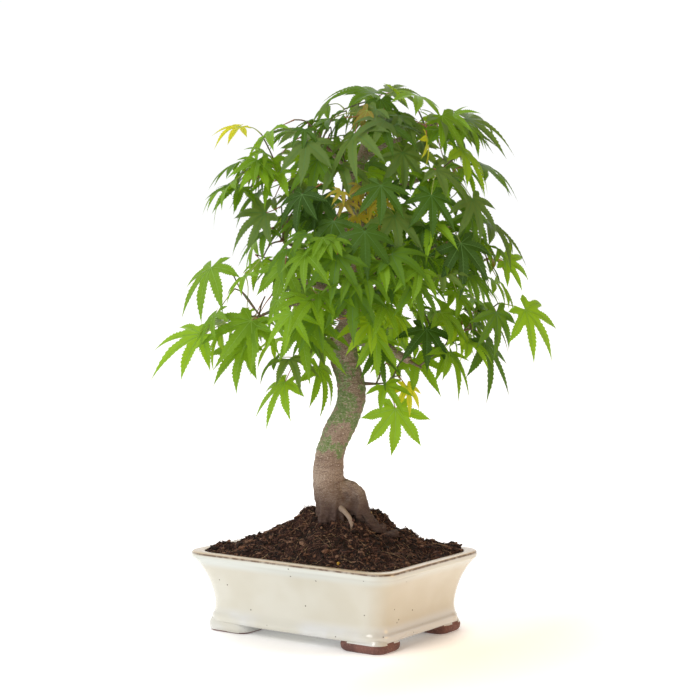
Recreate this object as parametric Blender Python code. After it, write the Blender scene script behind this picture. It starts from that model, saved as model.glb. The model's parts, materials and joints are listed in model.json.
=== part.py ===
"""A Japanese maple bonsai in its glazed pot.

A trunk that leans and bends carries boughs on all sides. Each bough ends where it
enters its own mass of leaves. The pot is a long tray on four feet, filled with soil
that rises in a mound round the trunk. Units are metres and +Z is up.
"""
import math
import random

import bmesh
import bpy
from mathutils import Vector
from mathutils.bvhtree import BVHTree

MM = 0.001
CLEAR = 0.3 * MM
UP = Vector((0.0, 0.0, 1.0))

# The tree's front is turned from the long side of the pot by this angle.
FACING = math.radians(34.7)
# In plan, the middle of the whole plant's box lies here from the pot's middle. The origin
# is put there, on the level that the feet stand on.
BOX_MIDDLE_X = 18 * MM
BOX_MIDDLE_Y = 22 * MM

# Pot: a rounded tray, long along X, whose walls draw in under a thick rim.
POT_LENGTH = 205 * MM
POT_WIDTH = 154 * MM
POT_CORNER = 18 * MM
POT_FLOOR = 14.5 * MM
SIDE_BOW = 1.2 * MM
# Outer wall from the underside to the rim: inset from the rim's edge, height.
OUTER_WALL = ((14.0, 8.0), (12.6, 9.2), (12.6, 13.5), (13.9, 17.0), (14.5, 24.0), (13.4, 33.0), (10.4, 44.5),
              (6.2, 54.0), (2.2, 60.3), (0.0, 63.2), (0.0, 66.8), (0.9, 68.0))
# Inner wall from the rim down to the floor.
INNER_WALL = ((7.4, 68.0), (8.3, 67.0), (9.4, 61.0), (17.0, 40.0), (21.0, 14.5))

# Feet: one rounded pad under each corner of the pot.
FOOT_LENGTH = 44 * MM
FOOT_WIDTH = 36 * MM
FOOT_CORNER = 11 * MM
FOOT_INSET = 12.0 * MM
# Inset of a foot's outline and height, from the ground up into the pot's base.
FOOT_PROFILE = ((3.0, 0.0), (0.6, 2.0), (0.0, 6.0), (2.0, 10.5))

# Soil: it starts below the rim and rises in a mound whose top lies just behind the trunk.
# The mound is round at its top and takes the pot's outline at its edge.
SOIL_EDGE = 66 * MM
MOUND_TOP = 111 * MM
MOUND_ACROSS = 1.0
MOUND_TOWARD = -15.0
MOUND_RADIUS = 76 * MM
MOUND_SLOPE = 1.25
SOIL_LUMP = 1.1 * MM
SOIL_RINGS = 7
# The soil stays this far off the pot's inner wall, and its top edge a little further.
SOIL_GAP = 0.4 * MM
SOIL_LEDGE = 0.9 * MM

# The trunk is cut flat at this height, where it stands in the mound.
GROUND_CUT = 82.0
CUTTER_SIZE = 0.4
# A curve's bevel resolution gives the count of a limb's sides.
TRUNK_RESOLUTION = 3
ROOT_RESOLUTION = 2
BOUGH_RESOLUTION = 1
# Trunk: across, toward the viewer, height and radius in millimetres.
TRUNK = ((-1, 0, 78, 16.5), (-1, 0, 90, 14.6), (-1, 0, 103, 13.8), (-4, 0, 119, 13.8), (-5, 1, 135, 13.3),
         (-3, 3, 152, 12.0), (3, 5, 169, 12.1), (10, 5, 183, 12.1), (14, 4, 197, 12.0), (14, 2, 209, 12.1),
         (11, 0, 221, 11.4), (8, -2, 233, 12.1), (7, -3, 243, 12.0), (11, -3, 255, 10.2), (14, -2, 266, 9.0),
         (15, 0, 281, 8.5), (15, 2, 302, 7.8), (17, 3, 323, 7.1), (18, 2, 346, 6.4), (17, 0, 368, 5.5),
         (20, 0, 389, 4.5), (25, 0, 408, 3.6), (28, 0, 421, 3.0))
# Roots that show on the mound, and the knob that the thick one leaves from.
ROOTS = (
    ((6, 2, 124, 8.0), (15, 3, 119, 9.0), (22, 4, 111, 8.2), (26, 5, 103, 5.0)),
    ((5, 3, 107, 6.8), (23, 5, 105, 4.8), (34, 7, 100, 3.4), (44, 8, 93, 3.2), (51, 9, 84, 3.0),
     (53, 9, 77, 3.0)),
    ((-2, 6, 101, 6.0), (-9, 9, 93, 6.0), (-13, 11, 84, 5.6), (-15, 12, 80, 5.6)),
    ((4, 8, 106, 3.0), (10, 18, 102, 2.0), (14, 23, 96, 1.9), (15, 26, 87, 1.8), (15, 27, 82, 1.8)),
    ((1, -4, 105, 6.6), (9, -13, 96, 6.4), (14, -18, 88, 6.0), (16, -20, 80, 6.0)),
)

# Boughs: height at which each leaves the trunk, then the points that it passes and its
# tip (across, toward, height), with its radius at the trunk and at the tip.
BOUGHS = {
    "bough_left_low": (262, ((-12, 12, 279), (-34, 24, 279), (-52, 28, 272)), 5.2, 2.6),
    "bough_left_mid": (291, ((-8, 10, 312), (-34, 20, 326)), 4.6, 2.3),
    "bough_left_upper": (333, ((-8, 6, 356), (-34, 10, 372)), 3.8, 2.0),
    "bough_top_left": (379, ((8, 3, 392), (-4, 7, 406)), 2.8, 1.7),
    "bough_right_low": (246, ((36, 20, 245), (51, 29, 237), (62, 34, 231)), 5.4, 3.0),
    "bough_right_mid": (272, ((36, 12, 289), (54, 19, 307), (74, 24, 320)), 5.0, 2.3),
    "bough_right_upper": (350, ((44, 5, 370), (78, 10, 384)), 3.8, 2.0),
    "bough_top_right": (395, ((42, 2, 410), (66, 5, 419)), 2.8, 1.7),
    "bough_front": (284, ((14, 38, 294), (10, 62, 306)), 4.4, 2.2),
    "bough_front_upper": (344, ((17, 16, 352), (16, 28, 358)), 3.4, 1.9),
    "bough_back": (306, ((22, -30, 322), (26, -54, 330)), 4.4, 2.2),
    "bough_back_left": (277, ((-8, -28, 290), (-30, -48, 296)), 4.6, 2.3),
    "bough_back_right": (294, ((42, -28, 303), (68, -48, 308)), 4.6, 2.3),
    "bough_back_upper": (358, ((18, -22, 371), (15, -38, 383)), 3.2, 1.8),
}

# Masses of leaves. "start" is the bough whose tip the stem meets, or the height and the
# plan angle at which the stem leaves the trunk. "tips" are the leaves that give the
# crown its outline: across, toward, height, the plan angle that the leaf points to, how
# far it hangs below the level, how far it rolls about its middle lobe, and its size.
# "fan" spreads more tips round a middle point, within a reach on each axis.
MASSES = {
    "leaves_crown_top": dict(
        start="trunk",
        tips=((33, 8, 453, 165, 28, 0, 1.15), (47, -6, 455, 12, 30, 0, 1.05),
              (17, 45, 417, 100, 62, 0, 1.0), (56, 40, 402, 70, 66, 0, 0.9),
              (39, -30, 441, 270, 45, 0, 1.0)),
        fan=((24, -14, 430), (34, 34, 12), 3)),
    "leaves_top_left": dict(
        start="bough_top_left",
        tips=((10, 2, 431, 178, 40, -15, 1.0), (-23, 15, 420, 165, 35, 0, 1.0),
              (-13, 45, 396, 115, 60, 0, 1.0)),
        fan=((-22, -18, 404), (26, 22, 16), 3)),
    "leaves_top_right": dict(
        start="bough_top_right",
        tips=((97, 5, 424, 15, 45, 10, 1.0), (111, -5, 433, 355, 46, 20, 1.05),
              (76, 45, 414, 85, 74, 0, 0.6), (105, 30, 405, 50, 62, 0, 1.0)),
        fan=((82, -22, 410), (26, 22, 14), 3)),
    "leaves_right_upper": dict(
        start="bough_right_upper",
        tips=((123, 8, 397, 14, 58, 15, 1.0), (129, 5, 345, 12, 48, 25, 1.0),
              (113, 35, 363, 45, 62, 0, 0.95), (79, 60, 367, 80, 66, 0, 0.95)),
        fan=((100, 20, 378), (26, 30, 18), 3)),
    "leaves_left_upper": dict(
        start="bough_left_upper",
        tips=((-79, 0, 426, 170, 35, -30, 0.6),
              (-78, 15, 375, 160, 48, 0, 1.0), (-89, 0, 378, 188, 48, -20, 0.95)),
        fan=((-58, 18, 380), (24, 32, 20), 3)),
    "leaves_left_mid": dict(
        start="bough_left_mid",
        tips=((-57, 25, 353, 130, 74, 0, 1.0), (-67, -12, 331, 195, 60, -20, 0.9),
              (-40, 45, 313, 118, 65, 0, 1.0)),
        fan=((-48, 14, 330), (24, 30, 20), 4)),
    "leaves_left_low": dict(
        start="bough_left_low",
        tips=((-103, 10, 308, 118, 52, 0, 1.05), (-111, 15, 252, 172, 32, -50, 1.2),
              (-68, 35, 265, 150, 45, 0, 1.05), (-73, 20, 243, 138, 72, 0, 1.0)),
        fan=((-74, 14, 276), (28, 34, 16), 4)),
    "leaves_left_under": dict(
        start=(247, 150),
        tips=((-27, 52, 262, 100, 78, 0, 1.0), (-41, 25, 213, 122, 68, 0, 1.0),
              (-4, 27, 224, 115, 82, 0, 0.85)),
        fan=((-32, 24, 244), (20, 24, 12), 2)),
    "leaves_front_low": dict(
        start=(262, 85),
        tips=((16, 80, 290, 95, 62, 0, 1.05), (34, 50, 252, 75, 70, 0, 0.85)),
        fan=((8, 76, 268), (48, 20, 16), 4)),
    "leaves_front_mid": dict(
        start="bough_front",
        tips=((3, 95, 318, 102, 55, 0, 1.0), (64, 75, 298, 62, 55, 0, 1.0),
              (25, 85, 337, 88, 60, 0, 0.95)),
        fan=((18, 76, 316), (50, 18, 20), 4)),
    "leaves_front_upper": dict(
        start="bough_front_upper",
        tips=((49, 65, 350, 70, 58, 0, 1.05), (0, 65, 344, 112, 60, 0, 1.0),
              (38, 72, 374, 86, 60, 0, 0.85)),
        fan=((16, 52, 364), (44, 18, 18), 4)),
    "leaves_right_mid": dict(
        start="bough_right_mid",
        tips=((144, 10, 313, 40, 58, 0, 0.95), (103, 55, 328, 65, 70, 0, 1.05),
              (112, 30, 351, 40, 60, 0, 1.0), (122, -6, 336, 5, 52, 0, 1.0)),
        fan=((98, 26, 318), (32, 34, 22), 4)),
    "leaves_right_low": dict(
        start="bough_right_low",
        tips=((159, 20, 273, 14, 44, 40, 1.15), (134, 30, 271, 60, 78, 0, 1.0),
              (126, 25, 246, 72, 80, 0, 1.05), (95, 40, 238, 88, 78, 0, 0.85),
              (76, 46, 258, 90, 60, 0, 0.95)),
        fan=((106, 16, 268), (38, 34, 14), 4)),
    "leaves_right_under": dict(
        start=(210, 12),
        tips=((51, 30, 191, 90, 82, 0, 1.0), (56, 6, 224, 30, 60, 0, 0.7), (60, 34, 210, 60, 60, 0, 0.6)),
        fan=((44, 10, 216), (14, 20, 8), 1)),
    "leaves_back_mid": dict(
        start="bough_back",
        tips=(),
        fan=((28, -80, 330), (46, 28, 34), 6)),
    "leaves_back_left": dict(
        start="bough_back_left",
        tips=(),
        fan=((-52, -62, 290), (48, 36, 32), 7)),
    "leaves_back_right": dict(
        start="bough_back_right",
        tips=(),
        fan=((92, -60, 300), (42, 40, 36), 7)),
    "leaves_back_upper": dict(
        start="bough_back_upper",
        tips=(),
        fan=((14, -52, 392), (48, 26, 30), 6)),
    "leaves_back_low": dict(
        start=(256, 275),
        tips=(),
        fan=((22, -56, 250), (52, 28, 18), 6)),
}

# A leaf: pointed lobes round the heart, where its stalk joins it. Each lobe is an angle
# from the middle one and a share of the leaf's reach.
LEAF_REACH = 39 * MM
LEAF_THICK = 0.9 * MM
LEAF_DROOP = 0.30
SEVEN = ((-124, 0.38), (-76, 0.74), (-37, 0.93), (0, 1.0), (37, 0.93), (76, 0.74), (124, 0.38))
FIVE = ((-92, 0.62), (-42, 0.90), (0, 1.0), (42, 0.90), (92, 0.62))
NOTCH = 0.36
BASAL_NOTCH = 0.27
BASAL_REACH = 0.5

# Stems, shoots and leaf stalks are three-sided. The air round each is a six-sided tube.
TWIG_SIDES = 3
AIR_SIDES = 6
GUARD_SIDES = 12
STEM_RADIUS = 2.0 * MM
STEM_LENGTH = 12 * MM
SHOOT_RADIUS = 1.6 * MM
SHOOT_TIP_RADIUS = 1.1 * MM
STALK_RADIUS = 0.8 * MM
STALK_LENGTH = 19 * MM
# The stalk ends this share of the leaf's reach behind the heart, and bends this far before it.
STALK_END = 0.10
STALK_BEND = 7 * MM
# Air that twigs and leaves keep round every other solid.
AIR = 0.45 * MM
SEED = 20

# A shoot leaves the nearest part of its mass that points its way: a turn costs this much.
TURN_COST = 1.7
# A shoot leaves and arrives along handles of these shares of its length.
NEAR_HANDLE = 0.33
FAR_HANDLE = 0.25
SHOOT_JOINTS = (0.33, 0.67, 1.0)
# Its last length is the leaf's stalk, no longer than this share of the whole.
STALK_SHARE = 0.45
# It arches by a share of its length, and comes in partly along the leaf's middle lobe.
ARCH = 0.08
ARCHES = (-0.15, 0.35)
ARCH_AT_STALK = 0.3
ARRIVAL = (0.3, 1.1)
# A leaf that shapes the crown has many tries, and shifts further at each of the first ones.
TIP_TRIES = 30
LOOSEST = 6
SHIFT_ASIDE = 2.5 * MM
SHIFT_UP = 0.5 * MM
SHIFT_DROOP = 2
ROLL_SPREAD = 10
# Leaves of a fan stand round its middle by the golden angle, and point outward.
GOLDEN_ANGLE = math.pi * (3 - math.sqrt(5))
FAN_TURN = (0, 0.6)
FAN_TRIES = 3
FAN_SPIN = 35
FAN_DROOP = (38, 72)
FAN_SIZE = (0.8, 1.0)
FAN_SHIFT = 2 * MM
# Leaves in pairs stand at the joints of a shoot, each on its own stalk. Every other pair
# leans up more. Their ranges: sweep aside, rise, length of stalk, size and three angles.
NODE_STEP = 27 * MM
NODE_END = 4 * MM
PAIR_TRIES = 10
PAIR_AHEAD = 0.5
PAIR_OUTWARD = 1.2
PAIR_SWEEP = (0.5, 1.0)
PAIR_RISE = ((-0.1, 0.7), (0.2, 1.1))
PAIR_STALK = (0.8, 1.5)
PAIR_SIZE = (0.72, 1.0)
PAIR_SPIN = (-30, 30)
PAIR_DROOP = (35, 80)
PAIR_ROLL = (-22, 22)
# A leaf of a pair stays in its own mass's space: no nearer to another's tips than this share.
SPACE_SHARE = 1.15
# A joined mass that keeps a smaller share of its faces than this has lost a leaf.
SCRAP_LIMIT = 0.97

# Edges sharper than this stay sharp on the round pieces.
SHARP_EDGE = math.radians(40)

GLAZE = (0.79, 0.76, 0.66)
EARTH = (0.055, 0.034, 0.026)
BARK = (0.19, 0.17, 0.11)
LEAF_GREEN = (0.10, 0.24, 0.035)


def world(across, toward, height):
    """Point in metres from millimetres across, toward the viewer and up."""
    turn_x = across * math.cos(FACING) + toward * math.sin(FACING)
    turn_y = across * math.sin(FACING) - toward * math.cos(FACING)
    return Vector((turn_x, turn_y, height)) * MM


def plan_direction(angle):
    """Level direction at a plan angle in degrees, from across toward the viewer."""
    turn = math.radians(angle)
    return world(math.cos(turn), math.sin(turn), 0.0).normalized()


def material(name, colour, roughness):
    """A Principled material of one plain colour."""
    made = bpy.data.materials.new(name)
    made.use_nodes = True
    shader = made.node_tree.nodes["Principled BSDF"]
    shader.inputs["Base Color"].default_value = (*colour, 1.0)
    shader.inputs["Roughness"].default_value = roughness
    shader.inputs["Metallic"].default_value = 0.0
    return made


def mesh_object(name, points, faces, collection, finish=None):
    """A closed mesh from points and faces, with its faces pointing out."""
    mesh = bpy.data.meshes.new(name)
    mesh.from_pydata([tuple(point) for point in points], [], faces)
    shape = bmesh.new()
    shape.from_mesh(mesh)
    bmesh.ops.recalc_face_normals(shape, faces=shape.faces)
    if shape.calc_volume(signed=True) < 0:
        bmesh.ops.reverse_faces(shape, faces=shape.faces)
    shape.to_mesh(mesh)
    shape.free()
    made = bpy.data.objects.new(name, mesh)
    collection.objects.link(made)
    if finish:
        mesh.materials.append(finish)
    return made


def applied(piece):
    """Give a piece the mesh that its modifiers make, and drop the modifiers."""
    bpy.context.view_layer.update()
    seen = piece.evaluated_get(bpy.context.evaluated_depsgraph_get())
    result = bpy.data.meshes.new_from_object(seen)
    piece.modifiers.clear()
    piece.data = result


def boolean(piece, operation, other, solver="EXACT"):
    """Cut a piece with another object, or join it with a whole collection."""
    step = piece.modifiers.new(operation.lower(), "BOOLEAN")
    step.operation = operation
    step.solver = solver
    if isinstance(other, bpy.types.Collection):
        step.operand_type = "COLLECTION"
        step.collection = other
    else:
        step.object = other
    applied(piece)


def shells_of(shape):
    """The separate closed shells of a bmesh, as sets of faces, smallest first."""
    left = set(shape.faces)
    shells = []
    while left:
        shell = {left.pop()}
        border = list(shell)
        while border:
            for edge in border.pop().edges:
                for face in edge.link_faces:
                    if face in left:
                        left.discard(face)
                        shell.add(face)
                        border.append(face)
        shells.append(shell)
    return sorted(shells, key=len)


def keep_one_body(piece):
    """Keep the largest closed shell: loose scrap goes, and a sealed hollow is filled.

    Returns whether what is left is closed and nearly all of the piece.
    """
    shape = bmesh.new()
    shape.from_mesh(piece.data)
    before = len(shape.faces)
    for shell in shells_of(shape)[:-1]:
        bmesh.ops.delete(shape, geom=list(shell), context="FACES")
    whole = all(len(edge.link_faces) == 2 for edge in shape.edges)
    kept = len(shape.faces) / before
    shape.to_mesh(piece.data)
    shape.free()
    return whole and kept > SCRAP_LIMIT


def join(piece, others):
    """Fuse a collection's objects onto a piece, then remove those objects."""
    first = piece.data
    boolean(piece, "UNION", others)
    if not keep_one_body(piece):
        piece.data = first
        boolean(piece, "UNION", others, "MANIFOLD")
        if not keep_one_body(piece):
            print(piece.name, "is not whole after joining")
    for other in list(others.objects):
        bpy.data.objects.remove(other)


def hide_guide(piece):
    """A cutter is not part of the object."""
    piece.hide_render = True
    piece.display_type = "WIRE"


def rounded_outline(length, width, corner, bow=0.0, turns=3, along=4, aside=2):
    """Points round a rounded rectangle, counter-clockwise, with sides that may bow out."""
    half_x = length / 2 - corner
    half_y = width / 2 - corner
    points = []
    corners = ((1, 1, 0, along), (-1, 1, 90, aside), (-1, -1, 180, along), (1, -1, 270, aside))
    for sign_x, sign_y, start, steps in corners:
        for step in range(turns + 1):
            angle = math.radians(start + 90 * step / turns)
            x = sign_x * half_x + corner * math.cos(angle)
            y = sign_y * half_y + corner * math.sin(angle)
            points.append([x, y])
        for step in range(1, steps):
            share = step / steps
            if steps == along:
                points.append([x - sign_x * 2 * half_x * share, y])
            else:
                points.append([x, y - sign_y * 2 * half_y * share])
    for point in points:
        if abs(point[0]) < half_x:
            point[1] += math.copysign(bow * (1 - (point[0] / half_x) ** 2), point[1])
    return points


def wall_outline(inset):
    """The pot's outline at an inset from the rim's edge."""
    corner = POT_CORNER - 0.15 * inset
    return rounded_outline(POT_LENGTH - 2 * inset, POT_WIDTH - 2 * inset, corner, SIDE_BOW)


def loft(rings, closed_bottom=True, closed_top=True):
    """Points and faces through rings that all have the same count of points."""
    count = len(rings[0])
    points = [point for ring in rings for point in ring]
    faces = []
    for ring in range(len(rings) - 1):
        for i in range(count):
            j = (i + 1) % count
            low = ring * count
            faces.append((low + i, low + j, low + count + j, low + count + i))
    if closed_bottom:
        faces.append(tuple(reversed(range(count))))
    if closed_top:
        faces.append(tuple(range(len(points) - count, len(points))))
    return points, faces


def smooth_path(rows, steps):
    """Rows of numbers on a smooth curve that passes through the given rows."""
    ends = [rows[0], *rows, rows[-1]]
    path = []
    for i in range(1, len(ends) - 2):
        for step in range(steps):
            t = step / steps
            row = []
            for a, b, c, d in zip(*ends[i - 1:i + 3]):
                bend = (2 * a - 5 * b + 4 * c - d) * t * t + (3 * b - a - 3 * c + d) * t ** 3
                row.append(0.5 * (2 * b + (c - a) * t + bend))
            path.append(row)
    path.append(list(rows[-1]))
    return path


def curve_limb(name, path, resolution, collection, finish=None, swell=0.0):
    """A tapering round limb: a curve with a bevel and filled caps, made a mesh."""
    curve = bpy.data.curves.new(name, "CURVE")
    curve.dimensions = "3D"
    curve.bevel_depth = 1.0
    curve.bevel_resolution = resolution
    curve.use_fill_caps = True
    spline = curve.splines.new("POLY")
    spline.points.add(len(path) - 1)
    for point, row in zip(spline.points, path):
        point.co = (*world(*row[:3]), 1.0)
        point.radius = row[3] * MM + swell
    guide = bpy.data.objects.new(name + "_curve", curve)
    collection.objects.link(guide)
    bpy.context.view_layer.update()
    seen = guide.evaluated_get(bpy.context.evaluated_depsgraph_get())
    mesh = bpy.data.meshes.new_from_object(seen)
    mesh.name = name
    shape = bmesh.new()
    shape.from_mesh(mesh)
    bmesh.ops.remove_doubles(shape, verts=shape.verts, dist=0.00001)
    bmesh.ops.recalc_face_normals(shape, faces=shape.faces)
    shape.to_mesh(mesh)
    shape.free()
    limb = bpy.data.objects.new(name, mesh)
    limb.matrix_world = guide.matrix_world
    collection.objects.link(limb)
    bpy.data.objects.remove(guide)
    if finish:
        mesh.materials.append(finish)
    return limb


def limb_solid(path, radii, sides):
    """Points and faces of a closed limb with flat ends, of few sides, along a path."""
    rings = []
    sideways = None
    for i, point in enumerate(path):
        ahead = (path[min(i + 1, len(path) - 1)] - path[max(i - 1, 0)]).normalized()
        if sideways is None:
            sideways = ahead.orthogonal().normalized()
        sideways = (sideways - ahead * sideways.dot(ahead)).normalized()
        across = ahead.cross(sideways)
        ring = []
        for side in range(sides):
            turn = math.tau * side / sides
            ring.append(point + (sideways * math.cos(turn) + across * math.sin(turn)) * radii[i])
        rings.append(ring)
    return loft(rings)


def air_round(path, radii):
    """Points and faces of the space round a twig that other solids keep out of."""
    return limb_solid(path, [radius / math.cos(math.pi / AIR_SIDES) + AIR for radius in radii], AIR_SIDES)


def leaf_outline(lobes):
    """Angle and reach of each lobe's point and of the notches between them."""
    outline = []
    for (angle, reach), following in zip(lobes, lobes[1:] + lobes[:1]):
        outline.append((angle, reach))
        if following[0] > angle:
            basal = min(reach, following[1]) < BASAL_REACH
            outline.append(((angle + following[0]) / 2, BASAL_NOTCH if basal else NOTCH))
    return outline


def blade_rim(heart, along, upper, size, outline, air=0.0):
    """Points round a leaf, whose lobes curve down from its heart."""
    aside = along.cross(upper)
    reach = LEAF_REACH * size
    rim = []
    for angle, share in outline:
        turn = math.radians(angle)
        out = reach * share + air
        flat = along * math.cos(turn) + aside * math.sin(turn)
        rim.append(heart + flat * out - upper * (LEAF_DROOP * out * out / reach))
    return rim


def blade_guard(heart, along, upper, size, outline):
    """A leaf's blade with air round it, for testing what it would touch."""
    rim = blade_rim(heart, along, upper, size, outline, AIR)
    rim.append(heart - along * (STALK_END * LEAF_REACH * size + 2 * AIR))
    count = len(rim)
    lift = upper * (LEAF_THICK / 2 + 2 * AIR)
    faces = []
    for i in range(count):
        j = (i + 1) % count
        faces += [(count, j, i), (count + 1, i, j)]
    return rim + [heart + lift, heart - lift], faces


def leaf_solid(path, radii, heart, along, upper, size, outline):
    """A leaf and the three-sided twig that it hangs on, as one closed solid.

    The twig's path ends in the notch behind the leaf's heart. The blade's two faces fan
    out from points over and under the heart, and meet the twig's last ring there. The
    first length, which sinks into what carries the twig, has parallel sides.
    """
    across = along.cross(upper)
    rim = blade_rim(heart, along, upper, size, outline)
    rings = []
    ahead = along
    for i in reversed(range(len(path))):
        if 0 < i < len(path) - 1:
            before = ahead
            ahead = (path[i + 1] - path[i - 1]).normalized()
            across.rotate(before.rotation_difference(ahead))
        low = ahead.cross(across)
        rings.insert(0, [path[i] + side * radii[max(i, 1)] for side in (across, -across, low)])
    lift = upper * (LEAF_THICK / 2)
    points = [point for ring in rings for point in ring] + rim + [heart + lift, heart - lift]
    faces = [(0, 1, 2), (1, 0, 3, 4), (2, 1, 4, 5), (0, 2, 5, 3)]
    for ring in range(1, len(rings) - 1):
        for i in range(3):
            near = 3 * ring + i
            beside = 3 * ring + (i + 1) % 3
            faces += [(beside, near, near + 3), (beside, near + 3, beside + 3)]
    left, right, lower = (3 * (len(rings) - 1) + i for i in range(3))
    first = 3 * len(rings)
    last = first + len(rim) - 1
    top, bottom = last + 1, last + 2
    for i in range(first, last):
        faces += [(top, i + 1, i), (bottom, i, i + 1)]
    faces += [(top, first, right), (top, right, left), (top, left, last)]
    faces += [(lower, right, first), (lower, last, left), (bottom, lower, first), (bottom, last, lower)]
    return points, faces


SEVEN_LOBES = leaf_outline(SEVEN)
FIVE_LOBES = leaf_outline(FIVE)


class Crown:
    """The solids that stand in the crown, which twigs and leaves keep clear of."""

    def __init__(self):
        self.standing = []

    @staticmethod
    def ball(points):
        middle = sum(points, Vector()) / len(points)
        return middle, max((point - middle).length for point in points)

    def stand(self, solid):
        """Add a solid and return its number."""
        self.standing.append((*self.ball(solid[0]), BVHTree.FromPolygons(*solid)))
        return len(self.standing) - 1

    def touches(self, solid, apart_from=()):
        """Say whether a solid touches any that stands, apart from some numbers."""
        middle, radius = self.ball(solid[0])
        tree = BVHTree.FromPolygons(*solid)
        for number, (other_middle, other_radius, other) in enumerate(self.standing):
            if number in apart_from or (middle - other_middle).length > radius + other_radius:
                continue
            if tree.overlap(other):
                return True
        return False


def bezier(a, b, c, d, steps):
    """Points on a cubic curve."""
    path = []
    for step in range(steps + 1):
        t = step / steps
        s = 1 - t
        path.append(a * s ** 3 + b * (3 * s * s * t) + c * (3 * s * t * t) + d * t ** 3)
    return path


def hanging(heading, droop):
    """A leaf's directions: along its middle lobe, and out of its upper face."""
    tilt = math.radians(droop)
    return heading * math.cos(tilt) - UP * math.sin(tilt), heading * math.sin(tilt) + UP * math.cos(tilt)


def rolled(along, upper, roll):
    """The upper direction turned about the middle lobe."""
    turn = math.radians(roll)
    return (upper * math.cos(turn) + along.cross(upper) * math.sin(turn)).normalized()


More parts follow.
